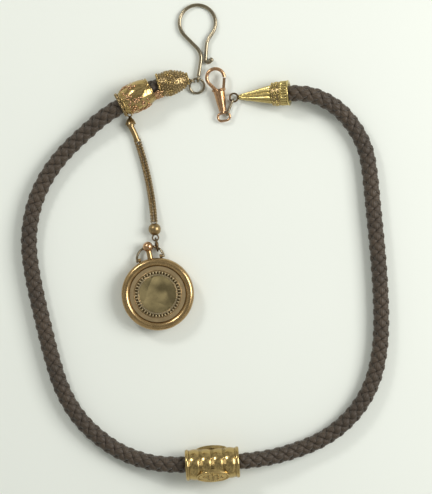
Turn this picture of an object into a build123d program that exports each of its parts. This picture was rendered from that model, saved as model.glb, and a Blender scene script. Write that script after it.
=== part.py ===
from build123d import *

import os
from math import asin, cos, degrees, pi, radians, sin, tan

os.makedirs("parts", exist_ok=True)

# Fits shared by the whole chain
seat_gap = 0.02
turn_gap = 0.04
cord_gap = 0.35
floor_gap = 0.04
overrun = 0.5

# Cord
cord_radius = 2.75
plug_depth = 4.0
plug_gap = 0.05
bend_share = 0.45

# Clasp dome
dome_x = -6.9
dome_y = 65.37
dome_heading = 28
dome_length = 10.8
dome_radius = 4.9
dome_mouth_radius = 3.65
dome_wall = 0.5
pellet_wire_radius = 0.4
dome_pellet_radius = 0.55
dome_pellet_count = 16

# Clasp window and cap
window_length = 3.3
window_heading = 22
saddle_drop = 1.9
saddle_wall = 0.6
cap_heading = 14
cap_length = 8.8
cap_radius = 3.95
cap_end_radius = 2.0
cap_wall = 0.5
cap_pellet_radius = 0.45
cap_pellet_wire = 0.35
cap_pellet_count = 18
band_radius = 2.1
band_width = 0.8
band_edge = 0.25

# Cap eye and jump ring
cap_eye_heading = -29
cap_eye_reach = 1.2
cap_eye_drop = 2.5
cap_eye_radius = 0.95
cap_eye_wire = 0.25
cap_post_radius = 0.2
cap_eye_slack = 0.17
jump_radius = 2.43
jump_wire = 0.4
jump_tilt = 14
jump_low_heading = 290
jump_eye_heading = 135
jump_hook_heading = 80

# Buttonhole hook
hook_rise = -1.9
hook_wire = 0.58
hook_eye_radius = 0.88
hook_eye_wire = 0.4
hook_loop_radius = 6.0
hook_loop_reach = 18.67
hook_loop_offset = -0.2
hook_shank_turn = 81.4
hook_left_turn = 225
hook_right_turn = -35
hook_shank_bend = 5.5
hook_throat_run = 1.5
hook_nose_bend = 6.0
hook_nose_turn = 31
hook_nose_run = 4.6
hook_curl_radius = 0.85
hook_curl_turn = 150
hook_ball_radius = 0.8

# Swivel clip
swivel_side_gap = 0.42
swivel_side_heading = 23.3
swivel_heading = 100.6
swivel_rise = 5.6
swivel_wire = 0.575
swivel_loop_radius = 2.9
swivel_loop_offset = -0.38
swivel_loop_reach = 3.87
swivel_root_offset = -1.2
swivel_root_turn = 125.2
swivel_root_depth = 0.8
swivel_nose_length = 0.4
body_top_radius = 2.05
body_end_radius = 1.2
body_length = 7.6
collar_radius = 2.3
collar_width = 0.7
knob_radius = 0.55
knob_offset = 0.75
knob_sink = 0.2
gate_width = 0.95
gate_thickness = 0.9
gate_foot = 1.45
gate_drop = 0.75
gate_gap = 0.12
slot_foot = 0.6
slot_depth = 1.3
slot_gap = 0.05
pin_radius = 0.22
pin_length = 2.0
spring_thickness = 0.15
spring_length = 0.8
spring_width = 0.6
bail_half_width = 2.0
bail_half_length = 1.3
bail_wire = 0.4
bail_gap = 0.15
bail_link_turn = 50
spindle_radius = 0.5
spindle_neck = 1.2
spindle_head_radius = 0.8
spindle_head_width = 0.8

# Oval link and cone eye
oval_heading = 69
oval_wire = 0.35
oval_half_width = 0.95
oval_reach = 4.19
loop_slack = 0.05
cone_eye_radius = 1.35
cone_eye_wire = 0.3

# Cone cap
cone_heading = 4.06
cone_length = 17.1
cone_tip_radius = 0.8
cone_flute_radius = 3.15
cone_flute_count = 12
flute_tip_radius = 0.12
flute_end_radius = 0.5
flute_share = 0.97
cone_tube_wall = 0.35
cone_cup_depth = 5.2
cone_band_width = 2.85
cone_band_radius = 3.75
reed_width = 2.3
reed_radius = 4.05
reed_count = 36
reed_round = 0.3
lip_radius = 4.25
lip_width = 0.6
lip_round = 0.25

# Barrel slide
slide_x = 18.1
slide_y = -55.9
slide_heading = 3.7
slide_length = 17.7
slide_bore_gap = 0.4
slide_tube_wall = 0.45
rim_radius = 5.15
rim_width = 1.1
barrel_radius = 5.1
barrel_groove = 0.45
barrel_rib_count = 4
medallion_length = 11.3
medallion_width = 6.4
medallion_tilt = 38
medallion_foot = 3.95
medallion_top = 5
medallion_crown = 0.35
medallion_wall = 0.6
medallion_rim_rise = 0.2
medallion_edge = 0.15

# Drop chain
drop_eye_fall_angle = 47.5
drop_eye_heading = -84
drop_eye_reach = 4.15
drop_eye_inset = 0.9
drop_eye_radius = 0.8
drop_eye_wire = 0.22
drop_ring_ahead = 1.06
bell_neck_reach = 1.05
bell_neck_radius = 0.45
bell_length = 2.4
bell_belly = 1.3
bell_belly_share = 0.45
bell_radius = 1.8
bell_wall = 0.35
bell_floor = 0.6
neck_band_radius = 1.3
neck_band_width = 0.55
ferrule_start_heading = -61
ferrule_end_heading = -70
ferrule_length = 4.79
ferrule_fall = 8
ferrule_radius = 0.95
cuff_radius = 1.1
cuff_width = 0.7
link_start_heading = -71.1
link_end_heading = -85
link_sink = 0.3
link_pitch = 0.95
link_wire = 0.155
link_ear_radius = 0.78
link_ear_offset = 0.75
link_ear_tilt = 28
links_per_group = 4
link_groups = 7
lift_link_count = 10
lift_peak = 10
bead_radius = 2.05
bead_length = 3.9
bead_ahead = 0.15
bead_eye_radius = 1.0
bead_eye_wire = 0.225
bead_eye_reach = 2.8

# Fob link and bow
fob_link_wire = 0.28
fob_link_half_width = 1.3
fob_link_roll = -20
fob_link_slack = 0.2
fob_link_heading = -80
fob_link_reach = 2.5
bow_radius = 4.5
bow_wire = 0.4
bow_centre_reach = 0.2
bow_fall = 28
bow_link_angle = 41
bow_pin_radius = 0.25
bow_pin_length = 1.3

# Fob case
fob_heading = 102
fob_radius = 12.0
fob_thickness = 6.0
fob_rim_width = 2.7
fob_skirt = 1.3
fob_wall = 2.1
ledge_width = 0.4
hinge_height = 3.0
hinge_reach = 11.95
lug_radius = 0.8
lug_width = 0.9
lug_side_gap = 0.06
stem_radius = 0.9
stem_seat_depth = 1.2
ball_radius = 1.7
ball_reach = 16.0
ball_bore_depth = 0.9
bezel_radius = 11.4
bezel_height = 1.25
bezel_edge = 0.5
crystal_radius = 9.6
crystal_thickness = 0.7
crystal_hold = 0.6
card_thickness = 0.3
card_height = 3.2
panel_thickness = 0.6
panel_top = 5.1
panel_side_gap = 0.05
milled_outer_radius = 7.5
milled_inner_radius = 6.75
milled_height = 0.3
milled_notch_radius = 0.22
milled_count = 60
step_outer_radius = 6.65
step_inner_radius = 6.15
step_height = 0.25
boss_radius = 6.1
boss_height = 0.35
boss_crown = 0.3
post_radius = 0.25
needle_length = 16.0
needle_width = 1.6
needle_thickness = 0.25
needle_height = 2.0
needle_hub_radius = 0.9
jewel_radius = 0.6
jewel_height = 0.35

# Route of the cord from the clasp to the cone, in millimetres
cord_route = [
    (-5.1, 66.3, 4.94),
    (-15.6, 60.7, 4.94),
    (-24.6, 53.2, 2.76),
    (-32.8, 45.2, 2.76),
    (-38.9, 35.9, 2.76),
    (-42.2, 26.1, 2.76),
    (-43.1, 15.6, 2.76),
    (-41.3, 3.9, 2.76),
    (-38.6, -7.6, 2.76),
    (-35.7, -19.6, 2.76),
    (-32.0, -31.9, 2.76),
    (-26.0, -41.9, 2.76),
    (-17.2, -49.7, 2.76),
    (-9.0, -54.2, 2.76),
    (3.1, -56.87, 5.86),
    (33.1, -54.93, 5.86),
    (46.0, -52.0, 2.76),
    (56.4, -47.5, 2.76),
    (65.0, -40.2, 2.76),
    (71.0, -30.6, 2.76),
    (73.8, -19.2, 2.76),
    (74.2, -7.4, 2.76),
    (73.7, 4.6, 2.76),
    (72.7, 16.9, 2.76),
    (71.4, 29.2, 2.76),
    (70.3, 41.2, 2.76),
    (68.6, 49.8, 2.76),
    (62.8, 58.8, 3.6),
    (56.5, 63.8, 5.3),
    (47.99, 66.91, 5.94),
    (39.13, 66.28, 4.1),
]


def toward(heading, rise=0):
    """Unit vector at a heading over the table, lifted by rise degrees."""
    flat = cos(radians(rise))
    return Vector(cos(radians(heading)) * flat, sin(radians(heading)) * flat, sin(radians(rise)))


def lying(origin, heading, rise=0):
    """Plane with X along the heading and Y standing up from the table."""
    return Plane(origin, x_dir=toward(heading, rise), z_dir=toward(heading - 90))


def flat(origin, heading, rise=0):
    """Plane with X along the heading and Z standing up from the table."""
    side = lying(origin, heading, rise)
    return Plane(origin, x_dir=side.x_dir, z_dir=side.y_dir)


def across(plane, ahead):
    """Plane square to the X axis of another, at a distance along it."""
    origin = plane.origin + plane.x_dir * ahead
    return Plane(origin, x_dir=plane.y_dir, z_dir=plane.x_dir)


def in_plane(normal, heading):
    """Unit vector that lies in a tilted plane and points along a heading."""
    plan = toward(heading)
    lift = -plan.dot(normal) / normal.Z
    return Vector(plan.X, plan.Y, lift).normalized()


def pair(vector):
    """Plane coordinates of a vector."""
    return (vector.X, vector.Y)


def reeds(start, width, count, radius, depth):
    """Round reeds side by side, as arcs of an outline."""
    step = width / count
    return [
        (
            ThreePointArc,
            (start + step * number, radius - depth),
            (start + step * number + step / 2, radius),
            (start + step * (number + 1), radius - depth),
        )
        for number in range(count)
    ]


def finish(shape, name):
    """Label a finished piece and write it to its own file."""
    shape.label = name
    export_step(shape, f"parts/{name}.step")


def turned(plane, outline):
    """Solid turned about the X axis of a plane from points and arcs."""
    with BuildPart() as piece:
        with BuildSketch(plane):
            with BuildLine():
                for kind, *points in outline:
                    kind(*points)
            make_face()
        revolve(axis=Axis(plane.origin, plane.x_dir))
    return piece.part


def ring(plane, radius, wire):
    """Round wire ring in a plane."""
    with BuildPart(plane) as piece:
        Torus(radius, wire)
    return piece.part


def oval_ring(plane, half_length, half_width, wire):
    """Ring of round wire with two straight sides and two round ends."""
    straight = half_length - half_width
    with BuildPart() as piece:
        with BuildLine(plane) as path:
            top = Line((-straight, half_width), (straight, half_width))
            ThreePointArc(top @ 1, (half_length, 0), (straight, -half_width))
            low = Line((straight, -half_width), (-straight, -half_width))
            ThreePointArc(low @ 1, (-half_length, 0), top @ 0)
        with BuildSketch(Plane(top @ 0, z_dir=top % 0)):
            Circle(wire)
        sweep(path=path.wires()[0])
    return piece.part


def pellet_ring(plane, radius, wire, pellet, count):
    """Wire ring set with round pellets."""
    with BuildPart(plane) as piece:
        Torus(radius, wire)
        with PolarLocations(radius + wire / 2, count):
            Sphere(pellet)
    return piece.part


def chain_link(plane):
    """Two leaning loops on one bar, with the chain's run along X."""
    lean = radians(link_ear_tilt)
    bar_place = -link_ear_radius * cos(lean)
    bar_half = link_ear_offset + link_ear_radius * sin(lean)
    with BuildPart() as link:
        with Locations(plane):
            for side in (-1, 1):
                with Locations(
                    Plane((0, side * link_ear_offset, 0), z_dir=(sin(lean), side * cos(lean), 0))
                ):
                    Torus(link_ear_radius, link_wire)
            with Locations((bar_place, 0, 0)):
                Cylinder(link_wire, 2 * bar_half, rotation=(90, 0, 0))
    return link.part


# Clasp dome
bore_radius = cord_radius + cord_gap
dome_centre = Vector(dome_x, dome_y, dome_radius + floor_gap)
dome_plane = lying(dome_centre, dome_heading)
dome_end = dome_length / 2
dome_inner = dome_radius - dome_wall
dome_shell = turned(
    dome_plane,
    [
        (ThreePointArc, (-dome_end, dome_mouth_radius), (0, dome_radius), (dome_end, dome_mouth_radius)),
        (Line, (dome_end, dome_mouth_radius), (dome_end, bore_radius)),
        (ThreePointArc, (dome_end, bore_radius), (0, dome_inner), (-dome_end, bore_radius)),
        (Line, (-dome_end, bore_radius), (-dome_end, dome_mouth_radius)),
    ],
)
finish(dome_shell, "clasp_dome")

dome_pellet_place = dome_end + dome_pellet_radius + seat_gap
dome_pellets = pellet_ring(
    across(dome_plane, -dome_pellet_place),
    bore_radius + pellet_wire_radius,
    pellet_wire_radius,
    dome_pellet_radius,
    dome_pellet_count,
)
finish(dome_pellets, "dome_pellet_ring")

# Clasp cap
dome_right = dome_centre + dome_plane.x_dir * dome_end
cap_centre_height = bore_radius + 2 * cap_pellet_radius + cap_pellet_wire / 2 + floor_gap
window_fall = dome_centre.Z - cap_centre_height
window_rise = -degrees(asin(window_fall / window_length))
cap_mouth = dome_right + toward(window_heading, window_rise) * window_length
cap_end = cap_length / 2
cap_plane = lying(cap_mouth + toward(cap_heading) * cap_end, cap_heading)
cap_mouth_radius = bore_radius + cap_wall
cap_belly = -cap_end / 4
cap_floor = cap_end - cap_wall
cap_shell = turned(
    cap_plane,
    [
        (ThreePointArc, (-cap_end, cap_mouth_radius), (cap_belly, cap_radius), (cap_end, cap_end_radius)),
        (Line, (cap_end, cap_end_radius), (cap_end, 0)),
        (Line, (cap_end, 0), (cap_floor, 0)),
        (Line, (cap_floor, 0), (cap_floor, cap_end_radius - cap_wall)),
        (
            ThreePointArc,
            (cap_floor, cap_end_radius - cap_wall),
            (cap_belly, cap_radius - cap_wall),
            (-cap_end, bore_radius),
        ),
        (Line, (-cap_end, bore_radius), (-cap_end, cap_mouth_radius)),
    ],
)
finish(cap_shell, "clasp_cap")

cap_pellet_place = cap_end + cap_pellet_radius + seat_gap
cap_pellets = pellet_ring(
    across(cap_plane, -cap_pellet_place),
    bore_radius + cap_pellet_radius,
    cap_pellet_wire,
    cap_pellet_radius,
    cap_pellet_count,
)
finish(cap_pellets, "cap_pellet_ring")

with BuildPart(across(cap_plane, cap_end + seat_gap)) as end_band:
    Cylinder(band_radius, band_width, align=(Align.CENTER, Align.CENTER, Align.MIN))
    fillet(end_band.edges(), band_edge)
finish(end_band.part, "cap_end_band")

# Saddle between dome and cap, on the side that faces the drop chain
saddle_plane = lying(dome_right, window_heading, window_rise)
saddle_inner = bore_radius + seat_gap
dome_face = Plane(dome_right + dome_plane.x_dir * seat_gap, z_dir=dome_plane.x_dir)
cap_face = Plane(
    cap_mouth - cap_plane.x_dir * 2 * (cap_pellet_radius + seat_gap), z_dir=-cap_plane.x_dir
)
with BuildPart() as saddle:
    with BuildSketch(across(saddle_plane, window_length / 2)):
        Circle(saddle_inner + saddle_wall)
        Circle(saddle_inner, mode=Mode.SUBTRACT)
        with Locations((0, saddle_drop + saddle_inner)):
            Rectangle(4 * saddle_inner, 2 * saddle_inner, mode=Mode.INTERSECT)
    extrude(amount=window_length, both=True)
    split(bisect_by=dome_face, keep=Keep.TOP)
    split(bisect_by=cap_face, keep=Keep.TOP)
finish(saddle.part, "clasp_saddle")

# Cord end held in the clasp
plug_start = Vector(*cord_route[0]) + dome_plane.x_dir * plug_gap
plug_points = [plug_start, dome_right, cap_mouth, cap_mouth + toward(cap_heading) * plug_depth]
plug_bends = []
for before, corner, after in zip(plug_points, plug_points[1:], plug_points[2:]):
    turn = (corner - before).get_angle(after - corner)
    shorter = min((corner - before).length, (after - corner).length)
    plug_bends.append(bend_share * shorter / tan(radians(turn) / 2))
with BuildPart() as clasp_cord:
    with BuildLine() as plug_path:
        FilletPolyline(*plug_points, radius=plug_bends)
    with BuildSketch(Plane(plug_points[0], z_dir=plug_points[1] - plug_points[0])):
        Circle(cord_radius)
    sweep(path=plug_path.wires()[0])
finish(clasp_cord.part, "clasp_cord_end")

# Cap eye on its short post
band_face = cap_plane.origin + cap_plane.x_dir * (cap_end + seat_gap + band_width)
cap_eye_centre = band_face + toward(cap_eye_heading) * cap_eye_reach - Vector(0, 0, cap_eye_drop)
with BuildPart(lying(cap_eye_centre, cap_eye_heading)) as cap_eye:
    Torus(cap_eye_radius, cap_eye_wire)
    with Locations((seat_gap - cap_eye_reach, cap_eye_radius, 0)):
        Cylinder(
            cap_post_radius,
            cap_eye_reach - seat_gap,
            rotation=(0, 90, 0),
            align=(Align.CENTER, Align.CENTER, Align.MIN),
        )
finish(cap_eye.part, "cap_eye")

# Jump ring, leaning on the table away from the eye
jump_normal = Vector(
    sin(radians(jump_tilt)) * cos(radians(jump_low_heading)),
    sin(radians(jump_tilt)) * sin(radians(jump_low_heading)),
    cos(radians(jump_tilt)),
)
jump_to_eye = in_plane(jump_normal, jump_eye_heading)
jump_to_hook = in_plane(jump_normal, jump_hook_heading)
jump_centre = cap_eye_centre - Vector(0, 0, cap_eye_slack) - jump_to_eye * jump_radius
finish(ring(Plane(jump_centre, z_dir=jump_normal), jump_radius, jump_wire), "jump_ring")

# Buttonhole hook in one bent wire, with the eye that rides on the jump ring
hook_eye_centre = jump_centre + jump_to_hook * jump_radius
hook_plane = Plane(
    hook_eye_centre, x_dir=toward(0), z_dir=toward(0).cross(toward(90, hook_rise)).normalized()
)
loop_centre = Vector(hook_loop_offset, hook_loop_reach)
left_turn = radians(hook_left_turn)
left_leave = loop_centre + Vector(cos(left_turn), sin(left_turn)) * hook_loop_radius
left_run = Vector(-sin(left_turn), cos(left_turn))
shank = Vector(cos(radians(hook_shank_turn)), sin(radians(hook_shank_turn)))
shank_reach = (left_leave.X * left_run.Y - left_leave.Y * left_run.X) / (
    shank.X * left_run.Y - shank.Y * left_run.X
)
right_leave = loop_centre + toward(hook_right_turn) * hook_loop_radius
right_run = right_leave + toward(hook_right_turn - 90) * hook_throat_run
with BuildPart() as wire_hook:
    with BuildLine(hook_plane) as hook_path:
        FilletPolyline(
            pair(shank * hook_eye_radius),
            pair(shank * shank_reach),
            pair(left_leave),
            radius=hook_shank_bend,
        )
        CenterArc(
            pair(loop_centre), hook_loop_radius, hook_right_turn, hook_left_turn - hook_right_turn
        )
        throat = Line(pair(right_leave), pair(right_run))
        throat_bend = JernArc(throat @ 1, throat % 1, hook_nose_bend, hook_nose_turn)
        nose = Line(throat_bend @ 1, throat_bend @ 1 + throat_bend % 1 * hook_nose_run)
        curl = JernArc(nose @ 1, nose % 1, hook_curl_radius, hook_curl_turn)
    path_wire = hook_path.wires()[0]
    with BuildSketch(Plane(path_wire @ 0, z_dir=path_wire % 0)):
        Circle(hook_wire)
    sweep(path=path_wire)
    with Locations(Plane(hook_eye_centre, z_dir=jump_normal.cross(jump_to_hook))):
        Torus(hook_eye_radius, hook_eye_wire)
finish(wire_hook.part, "wire_hook")

hook_ball_reach = (hook_ball_radius**2 - hook_wire**2) ** 0.5
hook_ball_plane = Plane(curl @ 1 + curl % 1 * seat_gap, x_dir=curl % 1, z_dir=hook_plane.z_dir)
hook_ball = turned(
    hook_ball_plane,
    [
        (Line, (0, 0), (0, hook_wire)),
        (
            ThreePointArc,
            (0, hook_wire),
            (hook_ball_reach, hook_ball_radius),
            (hook_ball_reach + hook_ball_radius, 0),
        ),
        (Line, (hook_ball_reach + hook_ball_radius, 0), (0, 0)),
    ],
)
finish(hook_ball, "hook_ball")

# Swivel clip, beside the jump ring
swivel_side_reach = jump_radius + jump_wire + swivel_side_gap + swivel_loop_radius + swivel_wire
swivel_loop_spot = jump_centre + toward(swivel_side_heading) * swivel_side_reach
swivel_along = toward(swivel_heading, swivel_rise)
swivel_across = toward(swivel_heading - 90)
swivel_spot = swivel_loop_spot - swivel_across * swivel_loop_offset - swivel_along * swivel_loop_reach
collar_centre = Vector(swivel_spot.X, swivel_spot.Y, collar_radius + 2 * floor_gap)
swivel_plane = Plane(
    collar_centre, x_dir=swivel_across, z_dir=swivel_across.cross(swivel_along)
)
body_plane = Plane(collar_centre, x_dir=-swivel_along, z_dir=swivel_plane.z_dir)

swivel_loop_start = swivel_root_turn - 90
swivel_loop_turn = swivel_root_turn + 90
swivel_loop_centre = Vector(swivel_loop_offset, swivel_loop_reach)
swivel_loop_foot = swivel_loop_centre - toward(swivel_loop_start) * swivel_loop_radius
swivel_root_run = toward(swivel_root_turn) * swivel_root_depth
swivel_nose = swivel_loop_centre + Vector(swivel_loop_radius, -swivel_nose_length)
with BuildPart() as swivel_hook:
    with BuildLine(swivel_plane) as swivel_path:
        swivel_root = Line(
            pair(Vector(swivel_root_offset, 0) - swivel_root_run), pair(swivel_loop_foot)
        )
        swivel_loop = JernArc(
            swivel_root @ 1, swivel_root % 1, swivel_loop_radius, -swivel_loop_turn
        )
        Line(swivel_loop @ 1, swivel_loop @ 1 + swivel_loop % 1 * swivel_nose_length)
    with BuildSketch(Plane(swivel_root @ 0, z_dir=swivel_root % 0)):
        Circle(swivel_wire)
    sweep(path=swivel_path.wires()[0])
    root_cut = swivel_plane.origin + swivel_along * seat_gap
    split(bisect_by=Plane(root_cut, z_dir=swivel_along), keep=Keep.TOP)
finish(swivel_hook.part, "swivel_hook")

with BuildPart() as gate_slot:
    with Locations(swivel_plane):
        with Locations((slot_foot, -slot_depth)):
            Box(
                collar_radius + overrun,
                slot_depth + overrun,
                gate_thickness + 2 * slot_gap,
                align=(Align.MIN, Align.MIN, Align.CENTER),
            )
gate_pivot = collar_centre + swivel_across * gate_foot - swivel_along * gate_drop

body_bore = spindle_radius + turn_gap
body_chamber = spindle_head_radius + turn_gap
chamber_start = body_length - spindle_neck
chamber_end = chamber_start - spindle_head_width - 2 * turn_gap
with BuildPart() as swivel_body:
    add(
        turned(
            body_plane,
            [
                (Line, (0, 0), (0, body_top_radius)),
                (Line, (0, body_top_radius), (body_length, body_end_radius)),
                (Line, (body_length, body_end_radius), (body_length, body_bore)),
                (Line, (body_length, body_bore), (chamber_start, body_bore)),
                (Line, (chamber_start, body_bore), (chamber_start, body_chamber)),
                (Line, (chamber_start, body_chamber), (chamber_end, body_chamber)),
                (Line, (chamber_end, body_chamber), (chamber_end, 0)),
                (Line, (chamber_end, 0), (0, 0)),
            ],
        )
    )
    add(gate_slot.part, mode=Mode.SUBTRACT)
    with Locations(Plane(gate_pivot, z_dir=swivel_plane.z_dir)):
        Cylinder(pin_radius + seat_gap, 2 * collar_radius, mode=Mode.SUBTRACT)
finish(swivel_body.part, "swivel_body")

knob_reach = collar_radius - knob_sink
knob_lift = (knob_reach**2 - knob_offset**2) ** 0.5
with BuildPart() as swivel_collar:
    with Locations(across(body_plane, collar_width / 2)):
        Cylinder(collar_radius, collar_width)
        with Locations((-knob_offset, knob_lift), (knob_offset, knob_lift)):
            Sphere(knob_radius)
        Cylinder(body_top_radius + seat_gap, 2 * collar_radius, mode=Mode.SUBTRACT)
    add(gate_slot.part, mode=Mode.SUBTRACT)
finish(swivel_collar.part, "swivel_collar")

# Gate of the swivel with its pin and leaf spring
gate_aim = Vector(swivel_nose.X - gate_foot, swivel_nose.Y + gate_drop)
nose_corner = Vector(swivel_nose.X - swivel_wire - gate_foot, swivel_nose.Y + gate_drop)
gate_reach = nose_corner.length - gate_gap
gate_along = (swivel_across * gate_aim.X + swivel_along * gate_aim.Y).normalized()
gate_plane = Plane(gate_pivot, x_dir=gate_along, z_dir=swivel_plane.z_dir)
with BuildPart() as gate:
    with BuildSketch(gate_plane):
        Circle(gate_reach)
        Rectangle(
            2 * gate_reach, gate_width, align=(Align.MIN, Align.CENTER), mode=Mode.INTERSECT
        )
        Circle(gate_width / 2)
        Circle(pin_radius + turn_gap, mode=Mode.SUBTRACT)
    extrude(amount=gate_thickness / 2, both=True)
finish(gate.part, "swivel_gate")

with BuildPart(gate_plane) as gate_pin:
    Cylinder(pin_radius, pin_length)
finish(gate_pin.part, "gate_pin")

with BuildPart() as gate_spring:
    with Locations(swivel_plane):
        with Locations((slot_foot + seat_gap, seat_gap - slot_depth)):
            Box(
                spring_thickness,
                spring_length,
                spring_width,
                align=(Align.MIN, Align.MIN, Align.CENTER),
            )
finish(gate_spring.part, "gate_spring")

# Swivel bail with the spindle that turns in the body
bail_reach = body_length + bail_wire + bail_gap + bail_half_length
bail_centre = collar_centre - swivel_along * bail_reach
bail_top = bail_reach - bail_half_length
head_low = chamber_end + turn_gap
head_high = chamber_start - turn_gap
with BuildPart() as swivel_bail:
    add(
        oval_ring(
            Plane(bail_centre, x_dir=swivel_across, z_dir=swivel_plane.z_dir),
            bail_half_width,
            bail_half_length,
            bail_wire,
        )
    )
    add(
        turned(
            body_plane,
            [
                (Line, (bail_top, 0), (bail_top, spindle_radius)),
                (Line, (bail_top, spindle_radius), (head_high, spindle_radius)),
                (Line, (head_high, spindle_radius), (head_high, spindle_head_radius)),
                (Line, (head_high, spindle_head_radius), (head_low, spindle_head_radius)),
                (Line, (head_low, spindle_head_radius), (head_low, 0)),
                (Line, (head_low, 0), (bail_top, 0)),
            ],
        )
    )
finish(swivel_bail.part, "swivel_bail")

# Oval link from the bail to the cone
bail_straight = bail_half_width - bail_half_length
bail_hold = (
    bail_centre
    + swivel_across * (bail_straight + bail_half_length * cos(radians(bail_link_turn)))
    + swivel_along * bail_half_length * sin(radians(bail_link_turn))
)
oval_near = bail_wire + loop_slack + oval_wire
oval_far = cone_eye_wire + loop_slack + oval_wire
oval_half_length = (oval_reach + oval_near + oval_far) / 2
oval_centre = bail_hold + toward(oval_heading) * (oval_half_length - oval_near)
oval_link = oval_ring(
    lying(oval_centre, oval_heading), oval_half_length, oval_half_width, oval_wire
)
finish(oval_link, "oval_link")

# Cone cap with its eye, fluted, banded and reeded
cone_eye_centre = bail_hold + toward(oval_heading) * (oval_reach + cone_eye_radius)
finish(ring(Plane(cone_eye_centre), cone_eye_radius, cone_eye_wire), "cone_eye")

cone_tip = cone_eye_centre + toward(cone_heading) * (cone_eye_radius + cone_eye_wire + seat_gap)
cone_flute_length = cone_length - cone_band_width - reed_width - lip_width - 2 * seat_gap
cone_rise = degrees(asin((cone_band_radius + 2 * floor_gap - cone_tip.Z) / cone_flute_length))
cone_plane = lying(cone_tip, cone_heading, cone_rise)
cone_tube_radius = bore_radius + cone_tube_wall
cone_cup_floor = cone_length - cone_cup_depth
with BuildPart() as flutes:
    for number in range(cone_flute_count):
        turn = pi * (2 * number + 1) / cone_flute_count
        outward = cone_plane.y_dir * cos(turn) + cone_plane.z_dir * sin(turn)
        flute_foot = cone_tip + outward * cone_tip_radius
        flute_top = cone_tip + outward * cone_flute_radius + cone_plane.x_dir * cone_flute_length
        flute_run = (flute_top - flute_foot).normalized()
        with Locations(Plane(flute_foot - flute_run * overrun, z_dir=flute_run)):
            Cone(
                flute_tip_radius,
                flute_end_radius,
                (flute_top - flute_foot).length * flute_share + overrun,
                align=(Align.CENTER, Align.CENTER, Align.MIN),
            )
with BuildPart() as cone_shell:
    add(
        turned(
            cone_plane,
            [
                (Line, (0, 0), (0, cone_tip_radius)),
                (Line, (0, cone_tip_radius), (cone_flute_length, cone_flute_radius)),
                (Line, (cone_flute_length, cone_flute_radius), (cone_flute_length, cone_tube_radius)),
                (Line, (cone_flute_length, cone_tube_radius), (cone_length, cone_tube_radius)),
                (Line, (cone_length, cone_tube_radius), (cone_length, bore_radius)),
                (Line, (cone_length, bore_radius), (cone_cup_floor, bore_radius)),
                (Line, (cone_cup_floor, bore_radius), (cone_cup_floor, 0)),
                (Line, (cone_cup_floor, 0), (0, 0)),
            ],
        )
    )
    add(flutes.part, mode=Mode.SUBTRACT)
finish(cone_shell.part, "cone_shell")

band_bore = cone_tube_radius + seat_gap
band_start = cone_flute_length + seat_gap
band_stop = cone_flute_length + cone_band_width
cone_band = turned(
    cone_plane,
    [
        (Line, (band_start, band_bore), (band_start, cone_band_radius)),
        (Line, (band_start, cone_band_radius), (band_stop, cone_band_radius)),
        (Line, (band_stop, cone_band_radius), (band_stop, band_bore)),
        (Line, (band_stop, band_bore), (band_start, band_bore)),
    ],
)
finish(cone_band, "cone_band")

reed_start = band_stop + seat_gap
reed_stop = reed_start + reed_width
lip_stop = reed_stop + lip_width
reed_foot = reed_radius - reed_round
lip_shoulder = lip_radius - lip_round
with BuildPart() as cone_reeds:
    with BuildSketch(across(cone_plane, reed_start)):
        Circle(reed_foot)
        with PolarLocations(reed_foot, reed_count):
            Circle(reed_round)
        Circle(band_bore, mode=Mode.SUBTRACT)
    extrude(amount=reed_width)
    add(
        turned(
            cone_plane,
            [
                (Line, (reed_stop, band_bore), (reed_stop, lip_shoulder)),
                *reeds(reed_stop, lip_width, 1, lip_radius, lip_round),
                (Line, (lip_stop, lip_shoulder), (lip_stop, band_bore)),
                (Line, (lip_stop, band_bore), (reed_stop, band_bore)),
            ],
        )
    )
finish(cone_reeds.part, "cone_reeded_band")

# Barrel slide on the cord
medallion_low = (medallion_top + medallion_crown) * sin(radians(medallion_tilt))
medallion_side = medallion_width / 2 * cos(radians(medallion_tilt))
slide_height = medallion_low + medallion_side + floor_gap
slide_plane = lying((slide_x, slide_y, slide_height), slide_heading)
slide_bore = cord_radius + slide_bore_gap
slide_tube_radius = slide_bore + slide_tube_wall
with BuildPart() as slide_tube:
    with BuildSketch(across(slide_plane, 0)):
        Circle(slide_tube_radius)
        Circle(slide_bore, mode=Mode.SUBTRACT)
    extrude(amount=slide_length / 2, both=True)
finish(slide_tube.part, "slide_tube")

barrel_bore = slide_tube_radius + seat_gap
barrel_half = slide_length / 2 - rim_width - seat_gap
barrel_foot = barrel_radius - barrel_groove
oval_out = medallion_length / 2 + seat_gap
oval_side = medallion_width / 2 + seat_gap
front_normal = toward(slide_heading - 90, medallion_tilt)
medallion_sides = {"front": front_normal, "back": -front_normal}
with BuildPart() as slide_barrel:
    add(
        turned(
            slide_plane,
            [
                (Line, (-barrel_half, barrel_bore), (-barrel_half, barrel_foot)),
                *reeds(-barrel_half, 2 * barrel_half, barrel_rib_count, barrel_radius, barrel_groove),
                (Line, (barrel_half, barrel_foot), (barrel_half, barrel_bore)),
                (Line, (barrel_half, barrel_bore), (-barrel_half, barrel_bore)),
            ],
        )
    )
    for normal in medallion_sides.values():
        pocket_foot = slide_plane.origin + normal * (medallion_foot - seat_gap)
        with BuildSketch(Plane(pocket_foot, x_dir=slide_plane.x_dir, z_dir=normal)):
            Ellipse(oval_out, oval_side)
        extrude(amount=medallion_top, mode=Mode.SUBTRACT)
finish(slide_barrel.part, "slide_barrel")

rim_foot = rim_radius - band_edge
for name, place in {"left": -slide_length / 2, "right": slide_length / 2 - rim_width}.items():
    rim = turned(
        slide_plane,
        [
            (Line, (place, barrel_bore), (place, rim_foot)),
            *reeds(place, rim_width, 1, rim_radius, band_edge),
            (Line, (place + rim_width, rim_foot), (place + rim_width, barrel_bore)),
            (Line, (place + rim_width, barrel_bore), (place, barrel_bore)),
        ],
    )
    finish(rim, f"slide_rim_{name}")

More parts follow.
